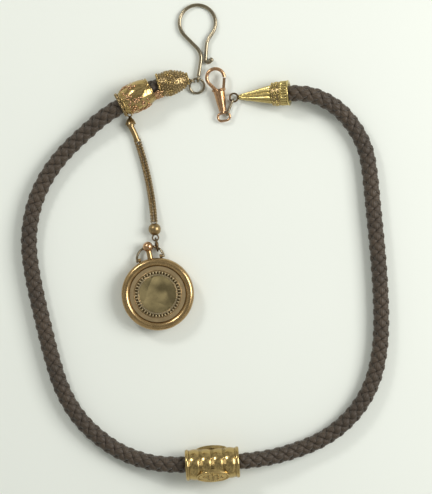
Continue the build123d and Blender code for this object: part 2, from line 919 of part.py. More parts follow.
medallion_height = medallion_top + medallion_crown - medallion_foot
medallion_half = medallion_length / 2 - medallion_wall - seat_gap
crown_radius = (medallion_half**2 + medallion_crown**2) / (2 * medallion_crown)
for name, normal in medallion_sides.items():
    medallion_centre = slide_plane.origin + normal * medallion_foot
    medallion_plane = Plane(medallion_centre, x_dir=slide_plane.x_dir, z_dir=normal)
    with BuildPart() as medallion:
        with BuildSketch(medallion_plane):
            Ellipse(medallion_half, medallion_width / 2 - medallion_wall - seat_gap)
        extrude(amount=medallion_height)
        with Locations(medallion_plane):
            with Locations((0, 0, medallion_height - crown_radius)):
                Sphere(crown_radius, mode=Mode.INTERSECT)
    finish(medallion.part, f"medallion_{name}")
    with BuildPart() as medallion_bezel:
        with BuildSketch(medallion_plane):
            Ellipse(medallion_length / 2, medallion_width / 2)
            Ellipse(
                medallion_length / 2 - medallion_wall,
                medallion_width / 2 - medallion_wall,
                mode=Mode.SUBTRACT,
            )
        extrude(amount=medallion_top + medallion_rim_rise - medallion_foot)
        bezel_top = medallion_bezel.faces().sort_by(Axis(medallion_centre, normal))[-1]
        fillet(bezel_top.edges(), medallion_edge)
    finish(medallion_bezel.part, f"medallion_bezel_{name}")

# Drop eye, a staple on the dome
fall = radians(drop_eye_fall_angle)
drop_eye_centre = (
    dome_centre
    - dome_plane.x_dir * (dome_end - drop_eye_inset)
    + toward(dome_heading - 90) * drop_eye_reach * cos(fall)
    - Vector(0, 0, drop_eye_reach * sin(fall))
)
dome_skin = dome_radius + seat_gap
dome_skin_mouth = dome_mouth_radius + seat_gap
dome_block = turned(
    dome_plane,
    [
        (ThreePointArc, (-dome_end, dome_skin_mouth), (0, dome_skin), (dome_end, dome_skin_mouth)),
        (Line, (dome_end, dome_skin_mouth), (dome_end, 0)),
        (Line, (dome_end, 0), (-dome_end, 0)),
        (Line, (-dome_end, 0), (-dome_end, dome_skin_mouth)),
    ],
)
with BuildPart() as drop_eye:
    with Locations(lying(drop_eye_centre, drop_eye_heading)):
        Torus(drop_eye_radius, drop_eye_wire)
    add(dome_block, mode=Mode.SUBTRACT)
finish(drop_eye.part, "drop_eye")

# Drop cap, a bell with a ring, then its neck band and the ferrule
drop_along = toward(drop_eye_heading)
drop_ring_centre = drop_eye_centre + drop_along * drop_ring_ahead
drop_plane = lying(drop_ring_centre, drop_eye_heading)
bell_stop = bell_neck_reach + bell_length
bell_waist = bell_neck_reach + bell_length * bell_belly_share
with BuildPart() as drop_cap:
    with Locations(Plane(drop_ring_centre)):
        Torus(drop_eye_radius, drop_eye_wire)
    add(
        turned(
            drop_plane,
            [
                (Line, (drop_eye_radius, 0), (drop_eye_radius, drop_eye_wire)),
                (Line, (drop_eye_radius, drop_eye_wire), (bell_neck_reach, bell_neck_radius)),
                (
                    ThreePointArc,
                    (bell_neck_reach, bell_neck_radius),
                    (bell_waist, bell_belly),
                    (bell_stop, bell_radius),
                ),
                (Line, (bell_stop, bell_radius), (bell_stop, bell_radius - bell_wall)),
                (Line, (bell_stop, bell_radius - bell_wall), (bell_stop - bell_floor, bell_belly)),
                (Line, (bell_stop - bell_floor, bell_belly), (bell_stop - bell_floor, 0)),
                (Line, (bell_stop - bell_floor, 0), (drop_eye_radius, 0)),
            ],
        )
    )
finish(drop_cap.part, "drop_cap")

neck_band_start = bell_stop - bell_floor + seat_gap
with BuildPart(across(drop_plane, neck_band_start)) as neck_band:
    Cylinder(
        neck_band_radius,
        bell_floor + neck_band_width,
        align=(Align.CENTER, Align.CENTER, Align.MIN),
    )
finish(neck_band.part, "neck_band")

# Ferrule, a bent tube with a cuff and the first loops of the chain
ferrule_place = neck_band_start + bell_floor + neck_band_width + seat_gap
ferrule_turn = ferrule_end_heading - ferrule_start_heading
ferrule_bend = ferrule_length / radians(abs(ferrule_turn))
ferrule_foot = drop_ring_centre + drop_along * ferrule_place
ferrule_plane = flat(ferrule_foot, ferrule_start_heading, -ferrule_fall)
with BuildPart() as ferrule:
    with BuildLine(ferrule_plane) as ferrule_path:
        ferrule_root = Line((-ferrule_radius, 0), (0, 0))
        ferrule_arc = JernArc((0, 0), (1, 0), ferrule_bend, ferrule_turn)
    with BuildSketch(Plane(ferrule_root @ 0, z_dir=ferrule_root % 0)):
        Circle(ferrule_radius)
    sweep(path=ferrule_path.wires()[0])
    split(bisect_by=Plane(ferrule_foot, z_dir=drop_along), keep=Keep.TOP)
    with Locations(Plane(ferrule_arc @ 1, z_dir=ferrule_arc % 1)):
        Cylinder(cuff_radius, cuff_width, align=(Align.CENTER, Align.CENTER, Align.MIN))
    link_start = ferrule_arc @ 1 + ferrule_arc % 1 * (cuff_width + link_sink)
    add(chain_link(flat(link_start, link_start_heading)))
finish(ferrule.part, "drop_ferrule")

# Woven chain of looped links, in groups
link_total = links_per_group * link_groups
link_centre = link_start
link_planes = []
for number in range(1, link_total + 2):
    heading = link_start_heading + (link_end_heading - link_start_heading) * number / link_total
    lifted = max(0, number - link_total + lift_link_count) / lift_link_count
    rise = lift_peak * sin(pi * min(lifted, 1))
    link_centre = link_centre + toward(heading, rise) * link_pitch
    link_planes.append(flat(link_centre, heading, rise))
for group in range(link_groups):
    first = group * links_per_group
    with BuildPart() as links:
        for plane in link_planes[first : first + links_per_group]:
            add(chain_link(plane))
    finish(links.part, f"chain_links_{group + 1}")

# Drop bead with the last link and its eye
bead_half = bead_length / 2
bead_plane = lying(
    link_planes[-1].origin + toward(link_end_heading) * (bead_ahead + bead_half), link_end_heading
)
bead_eye_centre = bead_plane.origin + bead_plane.x_dir * bead_eye_reach
with BuildPart() as bead:
    with Locations(bead_plane):
        Sphere(bead_radius)
        Box(bead_length, 2 * bead_radius, 2 * bead_radius, mode=Mode.INTERSECT)
    add(chain_link(link_planes[-1]))
    with Locations(Plane(bead_eye_centre)):
        Torus(bead_eye_radius, bead_eye_wire)
finish(bead.part, "drop_bead")

# Fob link from the bead's eye to the bow
hold_turn = radians(bow_link_angle)
hold_ahead = bow_centre_reach + bow_radius * cos(hold_turn)
hold_height = hinge_height - hold_ahead * sin(radians(bow_fall))
fob_link_fall = degrees(asin((bead_eye_centre.Z - hold_height) / fob_link_reach))
fob_link_run = toward(fob_link_heading, -fob_link_fall)
fob_link_start = bead_eye_centre + toward(fob_link_heading) * bead_eye_radius
bow_hold = fob_link_start + fob_link_run * fob_link_reach
fob_link_near = bead_eye_wire + fob_link_slack + fob_link_wire
bow_crossing = radians(fob_heading - bow_link_angle - 90 - fob_link_heading)
fob_link_far = (bow_wire + fob_link_slack + fob_link_wire) / sin(bow_crossing)
fob_link_half = (fob_link_reach + fob_link_near + fob_link_far) / 2
fob_link_centre = fob_link_start + fob_link_run * (fob_link_half - fob_link_near)
fob_link_plane = lying(fob_link_centre, fob_link_heading, -fob_link_fall).rotated(
    (fob_link_roll, 0, 0)
)
fob_link = oval_ring(fob_link_plane, fob_link_half, fob_link_half_width, fob_link_wire)
finish(fob_link, "fob_link")

# Place of the fob, hung from the link by its bow
stem_along = toward(fob_heading)
stem_side = toward(fob_heading - 90)
hold_out = stem_along * (hinge_reach + hold_ahead * cos(radians(bow_fall)))
fob_centre = bow_hold - hold_out - stem_side * bow_radius * sin(hold_turn)
fob_base = Vector(fob_centre.X, fob_centre.Y, 0)
fob_axis = Plane(fob_base, x_dir=(0, 0, 1), z_dir=stem_along)
fob_face = Plane(fob_base, x_dir=stem_along)
print("fob centre", round(fob_base.X, 3), round(fob_base.Y, 3))

# Bow, a bent wire with pins that turn in the lugs of the case
hinge_centre = fob_base + stem_along * hinge_reach + Vector(0, 0, hinge_height)
bow_plane = flat(hinge_centre, fob_heading, -bow_fall)
foot_side = (bow_radius**2 - bow_centre_reach**2) ** 0.5
pin_place = foot_side - bow_pin_length / 2
with BuildPart() as bow:
    with BuildLine(bow_plane) as bow_path:
        bow_arc = ThreePointArc(
            (0, -foot_side), (bow_centre_reach + bow_radius, 0), (0, foot_side)
        )
    with BuildSketch(Plane(bow_arc @ 0, z_dir=bow_arc % 0)):
        Circle(bow_wire)
    sweep(path=bow_path.wires()[0])
    with Locations(bow_plane):
        for side in (-1, 1):
            with Locations((0, side * foot_side)):
                Sphere(bow_wire)
            with Locations((0, side * pin_place)):
                Cylinder(bow_pin_radius, bow_pin_length, rotation=(90, 0, 0))
finish(bow.part, "fob_bow")

# Fob case with its round rim, ledge and lugs
rim_half = fob_rim_width / 2
rim_centre = fob_radius - rim_half
rim_height = fob_thickness - rim_half
rim_inner = fob_radius - fob_rim_width
cavity_radius = fob_radius - fob_wall
panel_low = panel_top - panel_thickness
ledge_top = panel_low - seat_gap
ledge_low = card_height + card_thickness + seat_gap
ledge_radius = rim_inner - ledge_width
lug_place = foot_side - bow_wire - lug_side_gap - lug_width / 2
stem_foot = fob_radius - stem_seat_depth
stem_plane = Plane(fob_base + Vector(0, 0, hinge_height), x_dir=(0, 0, 1), z_dir=stem_along)
with BuildPart() as case_band:
    add(
        turned(
            fob_axis,
            [
                (Line, (fob_skirt, cavity_radius), (fob_skirt, fob_radius)),
                (Line, (fob_skirt, fob_radius), (rim_height, fob_radius)),
                (
                    ThreePointArc,
                    (rim_height, fob_radius),
                    (fob_thickness, rim_centre),
                    (rim_height, rim_inner),
                ),
                (Line, (rim_height, rim_inner), (ledge_top, rim_inner)),
                (Line, (ledge_top, rim_inner), (ledge_top, ledge_radius)),
                (Line, (ledge_top, ledge_radius), (ledge_low, ledge_radius)),
                (Line, (ledge_low, ledge_radius), (ledge_low, cavity_radius)),
                (Line, (ledge_low, cavity_radius), (fob_skirt, cavity_radius)),
            ],
        )
    )
    with Locations(flat(hinge_centre, fob_heading)):
        with Locations((0, -lug_place), (0, lug_place)):
            Cylinder(lug_radius, lug_width, rotation=(90, 0, 0))
            Cylinder(
                bow_pin_radius + turn_gap, lug_width + overrun, rotation=(90, 0, 0), mode=Mode.SUBTRACT
            )
    with Locations(stem_plane):
        with Locations((0, 0, stem_foot - seat_gap)):
            Cylinder(
                stem_radius + seat_gap,
                2 * stem_seat_depth,
                align=(Align.CENTER, Align.CENTER, Align.MIN),
                mode=Mode.SUBTRACT,
            )
finish(case_band.part, "case_band")

# Pendant stem and crown ball
stem_stop = ball_reach - ball_bore_depth
with BuildPart() as stem:
    with Locations(stem_plane):
        with Locations((0, 0, stem_foot)):
            Cylinder(
                stem_radius,
                stem_stop - stem_foot,
                align=(Align.CENTER, Align.CENTER, Align.MIN),
            )
finish(stem.part, "pendant_stem")

with BuildPart() as ball:
    with Locations(stem_plane):
        with Locations((0, 0, ball_reach)):
            Sphere(ball_radius)
        with Locations((0, 0, stem_stop + seat_gap)):
            Cylinder(
                stem_radius + seat_gap,
                2 * ball_radius,
                align=(Align.CENTER, Align.CENTER, Align.MAX),
                mode=Mode.SUBTRACT,
            )
finish(ball.part, "crown_ball")

# Glass side of the fob, which lies on the table
crystal_seat = crystal_radius + seat_gap
crystal_stop = crystal_thickness + seat_gap
bezel_foot = bezel_radius - bezel_edge
crystal_cover = crystal_radius - crystal_hold
glass_bezel = turned(
    fob_axis,
    [
        (Line, (0, crystal_seat), (0, bezel_foot)),
        (Line, (0, bezel_foot), (bezel_edge, bezel_radius)),
        (Line, (bezel_edge, bezel_radius), (bezel_height, bezel_radius)),
        (Line, (bezel_height, bezel_radius), (bezel_height, crystal_cover)),
        (Line, (bezel_height, crystal_cover), (crystal_stop, crystal_cover)),
        (Line, (crystal_stop, crystal_cover), (crystal_stop, crystal_seat)),
        (Line, (crystal_stop, crystal_seat), (0, crystal_seat)),
    ],
)
finish(glass_bezel, "glass_bezel")


def disc(height, thickness, outer, inner=0):
    """Flat disc or ring of the fob, lying at a height."""
    with BuildPart() as piece:
        with BuildSketch(fob_face.offset(height)):
            Circle(outer)
            if inner > 0:
                Circle(inner, mode=Mode.SUBTRACT)
        extrude(amount=thickness)
    return piece.part


finish(disc(0, crystal_thickness, crystal_radius), "crystal")
finish(disc(card_height, card_thickness, cavity_radius - panel_side_gap), "compass_card")
finish(disc(panel_low, panel_thickness, rim_inner - panel_side_gap), "back_panel")

# Rings and boss on the back
trim_height = panel_top + seat_gap
finish(disc(trim_height, step_height, step_outer_radius, step_inner_radius), "step_ring")
with BuildPart() as milled_ring:
    add(disc(trim_height, milled_height, milled_outer_radius, milled_inner_radius))
    with Locations(fob_face.offset(trim_height + milled_height / 2)):
        with PolarLocations(milled_outer_radius, milled_count):
            Cylinder(milled_notch_radius, 2 * milled_height, mode=Mode.SUBTRACT)
finish(milled_ring.part, "milled_ring")

boss_dome_radius = (boss_radius**2 + boss_crown**2) / (2 * boss_crown)
boss_top = trim_height + boss_height + boss_crown
with BuildPart() as centre_boss:
    add(disc(trim_height, boss_height + boss_crown, boss_radius))
    with Locations(fob_face.offset(boss_top - boss_dome_radius)):
        Sphere(boss_dome_radius, mode=Mode.INTERSECT)
finish(centre_boss.part, "centre_boss")

# Compass needle on its post, under the card
post_low = needle_height + seat_gap
finish(disc(post_low, card_height - seat_gap - post_low, post_radius), "pivot_post")
with BuildPart() as needle:
    with BuildSketch(fob_face.offset(needle_height)):
        Polygon(
            (-needle_length / 2, 0),
            (0, -needle_width / 2),
            (needle_length / 2, 0),
            (0, needle_width / 2),
        )
        Circle(needle_hub_radius)
        Circle(post_radius + turn_gap, mode=Mode.SUBTRACT)
    extrude(amount=needle_thickness)
finish(needle.part, "compass_needle")
jewel_low = needle_height - seat_gap - jewel_height
finish(disc(jewel_low, jewel_height, jewel_radius), "needle_cap")

# Braided cord from the clasp through the slide to the cone
cord_points = [Vector(*point) for point in cord_route]
cord_bends = []
for before, corner, after in zip(cord_points, cord_points[1:], cord_points[2:]):
    turn = (corner - before).get_angle(after - corner)
    shorter = min((corner - before).length, (after - corner).length)
    cord_bends.append(bend_share * shorter / tan(radians(turn) / 2))
print("bend radii", [round(bend, 1) for bend in cord_bends])
with BuildPart() as cord:
    with BuildLine() as cord_path:
        FilletPolyline(*cord_points, radius=cord_bends)
    with BuildSketch(Plane(cord_points[0], z_dir=cord_points[1] - cord_points[0])):
        Circle(cord_radius)
    sweep(path=cord_path.wires()[0])
finish(cord.part, "braided_cord")
print("cord length", round(cord_path.wires()[0].length, 1))
print("cord volume", round(cord.part.volume, 1))
print("section by length", round(pi * cord_radius**2 * cord_path.wires()[0].length, 1))
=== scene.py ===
"""Looks for a pocket watch fob: silk cord, gold-filled mounts, drop chain and compass case."""
import math

import bpy
import numpy as np
from bpy.props import FloatProperty, FloatVectorProperty, IntProperty, PointerProperty
from bpy.types import Operator, Panel, PropertyGroup
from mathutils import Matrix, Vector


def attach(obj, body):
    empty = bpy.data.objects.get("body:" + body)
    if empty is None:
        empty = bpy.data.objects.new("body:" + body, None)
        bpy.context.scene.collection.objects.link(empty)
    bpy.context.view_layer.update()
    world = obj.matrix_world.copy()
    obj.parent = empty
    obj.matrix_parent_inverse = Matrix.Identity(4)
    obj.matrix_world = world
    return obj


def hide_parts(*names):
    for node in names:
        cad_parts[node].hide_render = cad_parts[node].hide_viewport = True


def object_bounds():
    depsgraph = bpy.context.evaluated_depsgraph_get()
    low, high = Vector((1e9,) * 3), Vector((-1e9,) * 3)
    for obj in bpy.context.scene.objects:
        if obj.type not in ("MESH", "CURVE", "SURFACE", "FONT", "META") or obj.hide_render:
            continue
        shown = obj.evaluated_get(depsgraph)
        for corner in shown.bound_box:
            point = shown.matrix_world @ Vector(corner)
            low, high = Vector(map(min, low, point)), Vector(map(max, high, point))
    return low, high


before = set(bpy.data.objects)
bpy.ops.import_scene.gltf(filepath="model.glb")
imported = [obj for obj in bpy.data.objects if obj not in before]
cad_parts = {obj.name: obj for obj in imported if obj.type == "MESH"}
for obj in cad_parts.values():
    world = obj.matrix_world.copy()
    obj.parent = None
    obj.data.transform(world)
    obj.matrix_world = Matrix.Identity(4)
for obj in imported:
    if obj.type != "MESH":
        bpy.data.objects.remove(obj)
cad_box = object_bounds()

bl_info = {
    "name": "Pocket watch fob finishes",
    "version": (1, 0, 0),
    "blender": (4, 5, 0),
    "location": "View3D > Sidebar > Watch fob",
    "description": "Braided cord, goldwork and finishes for a pocket watch fob",
    "category": "Object",
}

MM = 0.001
FULL_TURN = 2 * math.pi

# Places and sizes of the CAD's pieces in millimetres, with their headings in degrees
DOME_PLACE = (-6.9, 65.37, 4.94)
DOME_HEADING = 28.0
DOME_HALF = 5.4
DOME_RADIUS = 4.9
DOME_MOUTH = 3.65
CAP_PLACE = (5.1222, 70.1756, 4.215)
CAP_HEADING = 14.0
CAP_HALF = 4.4
CAP_RADIUS = 3.95
CAP_MOUTH = 3.6
CAP_END = 2.0
SADDLE_HEADING = 22.0
SADDLE_RISE = -12.69
SADDLE_RADIUS = 3.72
SLIDE_PLACE = (18.1, -55.9, 5.8554)
SLIDE_HEADING = 3.7
SLIDE_HALF = 7.73
BARREL_RADIUS = 5.1
BARREL_GROOVE = 0.45
BARREL_RIBS = 4
MEDALLION_TILT = 38.0
MEDALLION_HALF = 5.0
MEDALLION_SIDE = 2.55
MEDALLION_TOP = 5.35
MEDALLION_CROWN = 0.35
MEDALLION_FOOT = 3.95
CONE_PLACE = (26.8795, 65.4273, 1.555)
CONE_HEADING = 4.06
CONE_RISE = 11.604
CONE_TIP = 0.8
CONE_FLUTE_LENGTH = 11.31
CONE_FLUTE_RADIUS = 3.15
CONE_LENGTH = 17.1
CONE_BAND_WIDTH = 2.85
CONE_BAND_RADIUS = 3.75
CONE_TUBE_RADIUS = 3.45
CONE_BORE = 3.1
CONE_CUP_DEPTH = 5.2
REED_LENGTH = 2.3
REED_RADIUS = 4.05
LIP_RADIUS = 4.25
BEAD_EYE_PLACE = (-0.8507, 18.7246, 2.1222)
BEAD_EYE_RADIUS = 1.0
FOB_LINK_PLACE = (-0.4366, 16.3762, 1.6477)
FOB_LINK_ALONG = (0.1643, -0.9863, 0.014)
FOB_LINK_UP = (0.0563, 0.0235, 0.9981)
FOB_LINK_RISE = 1.02
LINK_START = (-6.7248, 50.465, 1.0789)
LINK_HEADINGS = (-71.1, -85.0)
LINK_PITCH = 0.95
LINKS_PER_GROUP = 4
LINK_GROUPS = 7
LIFT_LINKS = 10
LIFT_PEAK = 10.0
CARD_HEIGHT = 3.2
CARD_RADIUS = 9.4
LETTER_REACH = 6.9
MILLED_INNER = 6.75
MILLED_OUTER = 7.5
MILLED_TOP = 5.42
MILLED_COUNT = 44
BOSS_RADIUS = 6.1
PANEL_TOP = 5.1

# The oval round each medallion that no wire crosses, in mm, and where the wires start
CLEAR_HALF = 5.8
CLEAR_SIDE = 3.35
RING_START = 69.0

# How many beads, flowers, twists and marks the goldwork and the compass card have
MEDALLION_BEADS = 44
BAND_BEADS = 46
BAND_FLOWERS = 7
BEAD_EYE_TWISTS = 24
CARD_MARKS = 72
CARD_POINTS = 8

# How deep the scratches are, in mm, how the silk is spun and how thick the cord's core is
SCRATCH_DEPTH = 0.004
SILK_THREADS = 7
SILK_TWIST = 1.4
CORE_SHARE = 0.72

# What the camera sees of the table, where it hangs, where the lamps point and how far the
# floor reaches, in metres, with the camera's sensor in millimetres
FRAME_HEIGHT = 0.1647
CAMERA_PLACE = (0.01927, 0.0156)
LAMP_AIM = (0.019, 0.016, 0.0)
FLOOR_HALF = 1.5
SENSOR_WIDTH = 36.0

# The cord's control points in metres, from the dome through the slide to the cone
CORD_ROUTE = [
    (-0.0051, 0.0663, 0.00494),
    (-0.0156, 0.0607, 0.00494),
    (-0.0246, 0.0532, 0.00276),
    (-0.0328, 0.0452, 0.00276),
    (-0.0389, 0.0359, 0.00276),
    (-0.0422, 0.0261, 0.00276),
    (-0.0431, 0.0156, 0.00276),
    (-0.0413, 0.0039, 0.00276),
    (-0.0386, -0.0076, 0.00276),
    (-0.0357, -0.0196, 0.00276),
    (-0.0320, -0.0319, 0.00276),
    (-0.0260, -0.0419, 0.00276),
    (-0.0172, -0.0497, 0.00276),
    (-0.0090, -0.0542, 0.00276),
    (0.0031, -0.05687, 0.00586),
    (0.0331, -0.05493, 0.00586),
    (0.0460, -0.0520, 0.00276),
    (0.0564, -0.0475, 0.00276),
    (0.0650, -0.0402, 0.00276),
    (0.0710, -0.0306, 0.00276),
    (0.0738, -0.0192, 0.00276),
    (0.0742, -0.0074, 0.00276),
    (0.0737, 0.0046, 0.00276),
    (0.0727, 0.0169, 0.00276),
    (0.0714, 0.0292, 0.00276),
    (0.0703, 0.0412, 0.00276),
    (0.0686, 0.0498, 0.00276),
    (0.0628, 0.0588, 0.0036),
    (0.0565, 0.0638, 0.0053),
    (0.04799, 0.06691, 0.00594),
    (0.03913, 0.06628, 0.0041),
]

# The short cord between the dome and the cap, seen through the clasp's window
WINDOW_ROUTE = [
    (-0.00506, 0.06632, 0.00494),
    (-0.00213, 0.06790, 0.00494),
    (0.00085, 0.06911, 0.00422),
    (0.00473, 0.07008, 0.00422),
]


def linear(code):
    """Turns an sRGB hex colour into the linear colour that Blender uses."""
    parts = [int(code[place:place + 2], 16) / 255 for place in (1, 3, 5)]
    return tuple(p / 12.92 if p <= 0.04045 else ((p + 0.055) / 1.055) ** 2.4 for p in parts)


def opaque(colour):
    """A colour with full alpha, as a socket wants it."""
    return (colour[0], colour[1], colour[2], 1.0)


def per_size(millimetres):
    """Texture scale whose cells are that many millimetres wide on the object."""
    return 1 / (millimetres * MM)


def amount(name, description, default, lowest, highest, **kind):
    """A size, share or power that a user may change."""
    return FloatProperty(
        name=name, description=description, default=default, min=lowest, max=highest, **kind)


def tally(name, description, default, lowest, highest):
    """A count that a user may change."""
    return IntProperty(
        name=name, description=description, default=default, min=lowest, max=highest)


def tint(name, description, code):
    """A colour that a user may change, given as sRGB hex."""
    return FloatVectorProperty(
        name=name, description=description, subtype="COLOR", default=linear(code), min=0, max=1)


class CordSizes(PropertyGroup):
    """Sizes and colours of the braided cord"""

    radius: amount("Braid radius", "Outside radius of the braided cord in mm", 2.8, 1.0, 6.0)
    repeat: amount("Repeat", "Length of one full turn of a strand in mm", 14.4, 4.0, 60.0)
    strands: tally("Strands", "Strands that run each way round the cord", 4, 2, 12)
    half_width: amount("Strand half width", "Half the width of a strand in mm", 1.16, 0.2, 3.0)
    half_height: amount(
        "Strand half thickness", "Half the thickness of a strand in mm", 0.62, 0.1, 2.0)
    weave: amount("Weave height", "How far a strand rises and falls in mm", 0.42, 0.0, 1.5)
    step: amount("Step", "Distance between a strand's sections in mm", 0.4, 0.1, 2.0)
    silk: tint("Silk", "Colour of the silk threads", "#514231")
    # The silk shade is the dark between threads, and painted shade between close strands
    shade: tint("Silk shade", "Colour of the silk between its threads", "#1e170d")


class MetalColours(PropertyGroup):
    """Colours of the fob's metals, and of the darkening in their hollows, which is partly real
    tarnishing and partly painted shade
    """

    gold: tint("Yellow gold fill", "Polished gold on the clasp, slide and cone", "#bda36c")
    grains: tint("Granulated gold", "Gold under the soldered grains", "#a08a62")
    bright: tint("Bright gold", "The cone, least worn of the mounts", "#d6c07e")
    pale: tint("Pale gold wire", "Drawn wire of the hook and rings", "#9c9078")
    rose: tint("Rose gold", "Swivel, crown ball and scroll strip", "#c89f78")
    aged: tint("Aged gold", "Drop chain and its bead", "#a28a62")
    bronze: tint("Bronze gold", "Compass case", "#b89a6c")
    # Partly real tarnishing and partly painted shade: this colour darkens every metal's hollows
    tarnish_and_shade: tint("Tarnish", "Dirt and tarnish that stay in the hollows", "#2c2110")


class GoldworkSizes(PropertyGroup):
    """Sizes and counts of the soldered and chased ornament"""

    wire: amount("Scroll wire", "Radius of the soldered scroll wire in mm", 0.25, 0.05, 0.5)
    granule: amount("Granule", "Radius of a soldered gold grain in mm", 0.28, 0.05, 0.8)
    gadroons: tally("Gadroons", "Rounded lobes round the cone", 12, 4, 40)
    reeds: tally("Reeds", "Short reeds round the mouth of the cone", 26, 8, 120)


class StageLook(PropertyGroup):
    """Floor, light and camera"""

    floor: tint("Floor", "Colour of the paper under the fob", "#e9ece3")
    side_sky: amount("Room light", "Brightness of the room near the horizon", 0.64, 0, 2)
    top_sky: amount("Ceiling light", "Brightness of the room overhead", 0.42, 0, 2)
    key_power: amount(
        "Window", "Power of the large soft light on the right", 2.6, 0, 100, subtype="POWER")
    fill_power: amount(
        "Fill", "Power of the small light at the top left", 0.9, 0, 100, subtype="POWER")
    camera_height: amount(
        "Camera height", "Height of the camera over the table", 0.6, 0.1, 3,
        subtype="DISTANCE", unit="LENGTH")


# Lines and surfaces


def toward(heading, rise=0.0):
    """Unit vector at a heading over the table, lifted by rise degrees."""
    turn, lift = math.radians(heading), math.radians(rise)
    flat = math.cos(lift)
    return np.array([math.cos(turn) * flat, math.sin(turn) * flat, math.sin(lift)])


def lying(place, heading, rise=0.0):
    """Place of a lying piece, with its directions along, up and to the side."""
    along = toward(heading, rise)
    side = toward(heading - 90)
    return np.array(place, float), along, np.cross(side, along), side


def arc_profile(first, middle, last):
    """Radius along the axis of the arc through three (distance, radius) points."""
    (x0, y0), (x1, y1), (x2, y2) = first, middle, last
    rows = np.array([[2 * (x1 - x0), 2 * (y1 - y0)], [2 * (x2 - x0), 2 * (y2 - y0)]])
    sums = np.array([x1**2 + y1**2 - x0**2 - y0**2, x2**2 + y2**2 - x0**2 - y0**2])
    centre_x, centre_y = np.linalg.solve(rows, sums)
    size = math.hypot(x0 - centre_x, y0 - centre_y)
    return lambda ahead: centre_y + math.sqrt(max(size**2 - (ahead - centre_x) ** 2, 0))


def barrel_profile(ahead):
    """Radius of the ribbed barrel at a distance from its middle."""
    rib = 2 * SLIDE_HALF / BARREL_RIBS
    place = ((ahead + SLIDE_HALF) / rib) % 1
    return BARREL_RADIUS - BARREL_GROOVE * (2 * place - 1) ** 2


def scroll(middle, size, start, turns, hand=1, count=26):
    """Flat scroll that opens from its eye, as (ahead, across) pairs in mm."""
    line = []
    for number in range(count):
        share = number / (count - 1)
        turn = start + hand * turns * FULL_TURN * share
        reach = size * (0.16 + 0.84 * share)
        line.append((middle[0] + reach * math.cos(turn), middle[1] + reach * math.sin(turn)))
    return line


def along_nurbs(route, step):
    """Even points in mm along the NURBS spline through a route given in metres."""
    data = bpy.data.curves.new("route", "CURVE")
    data.dimensions = "3D"
    spline = data.splines.new("NURBS")
    spline.points.add(len(route) - 1)
    for point, place in zip(spline.points, route):
        point.co = (*place, 1.0)
    spline.order_u = 3
    spline.use_endpoint_u = True
    spline.resolution_u = 24
    holder = bpy.data.objects.new("route", data)
    mesh = bpy.data.meshes.new_from_object(holder)
    points = np.array([vertex.co for vertex in mesh.vertices], float) / MM
    bpy.data.objects.remove(holder)
    bpy.data.curves.remove(data)
    bpy.data.meshes.remove(mesh)
    runs = np.concatenate([[0], np.cumsum(np.linalg.norm(np.diff(points, axis=0), axis=1))])
    marks = np.linspace(0, runs[-1], int(runs[-1] / step) + 2)
    even = np.stack([np.interp(marks, runs, points[:, axis]) for axis in range(3)], axis=1)
    return even, marks


def unit(vectors):
    """Vectors scaled to a length of one."""
    return vectors / np.linalg.norm(vectors, axis=-1, keepdims=True)


def circle(centre, radius, count):
    """Points of a level circle, in mm."""
    turns = np.arange(count) * FULL_TURN / count
    return np.stack([np.cos(turns), np.sin(turns), 0 * turns], axis=1) * radius + centre


def by_turns(count):
    """Counts motifs, and gives their hands in turn as -1 and 1."""
    for number in range(count):
        yield number, 1 if number % 2 else -1


def carried(mesh, body):
    """Makes a mesh into an object that rides on a body."""
    made = bpy.data.objects.new(mesh.name, mesh)
    bpy.context.scene.collection.objects.link(made)
    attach(made, body)
    return made


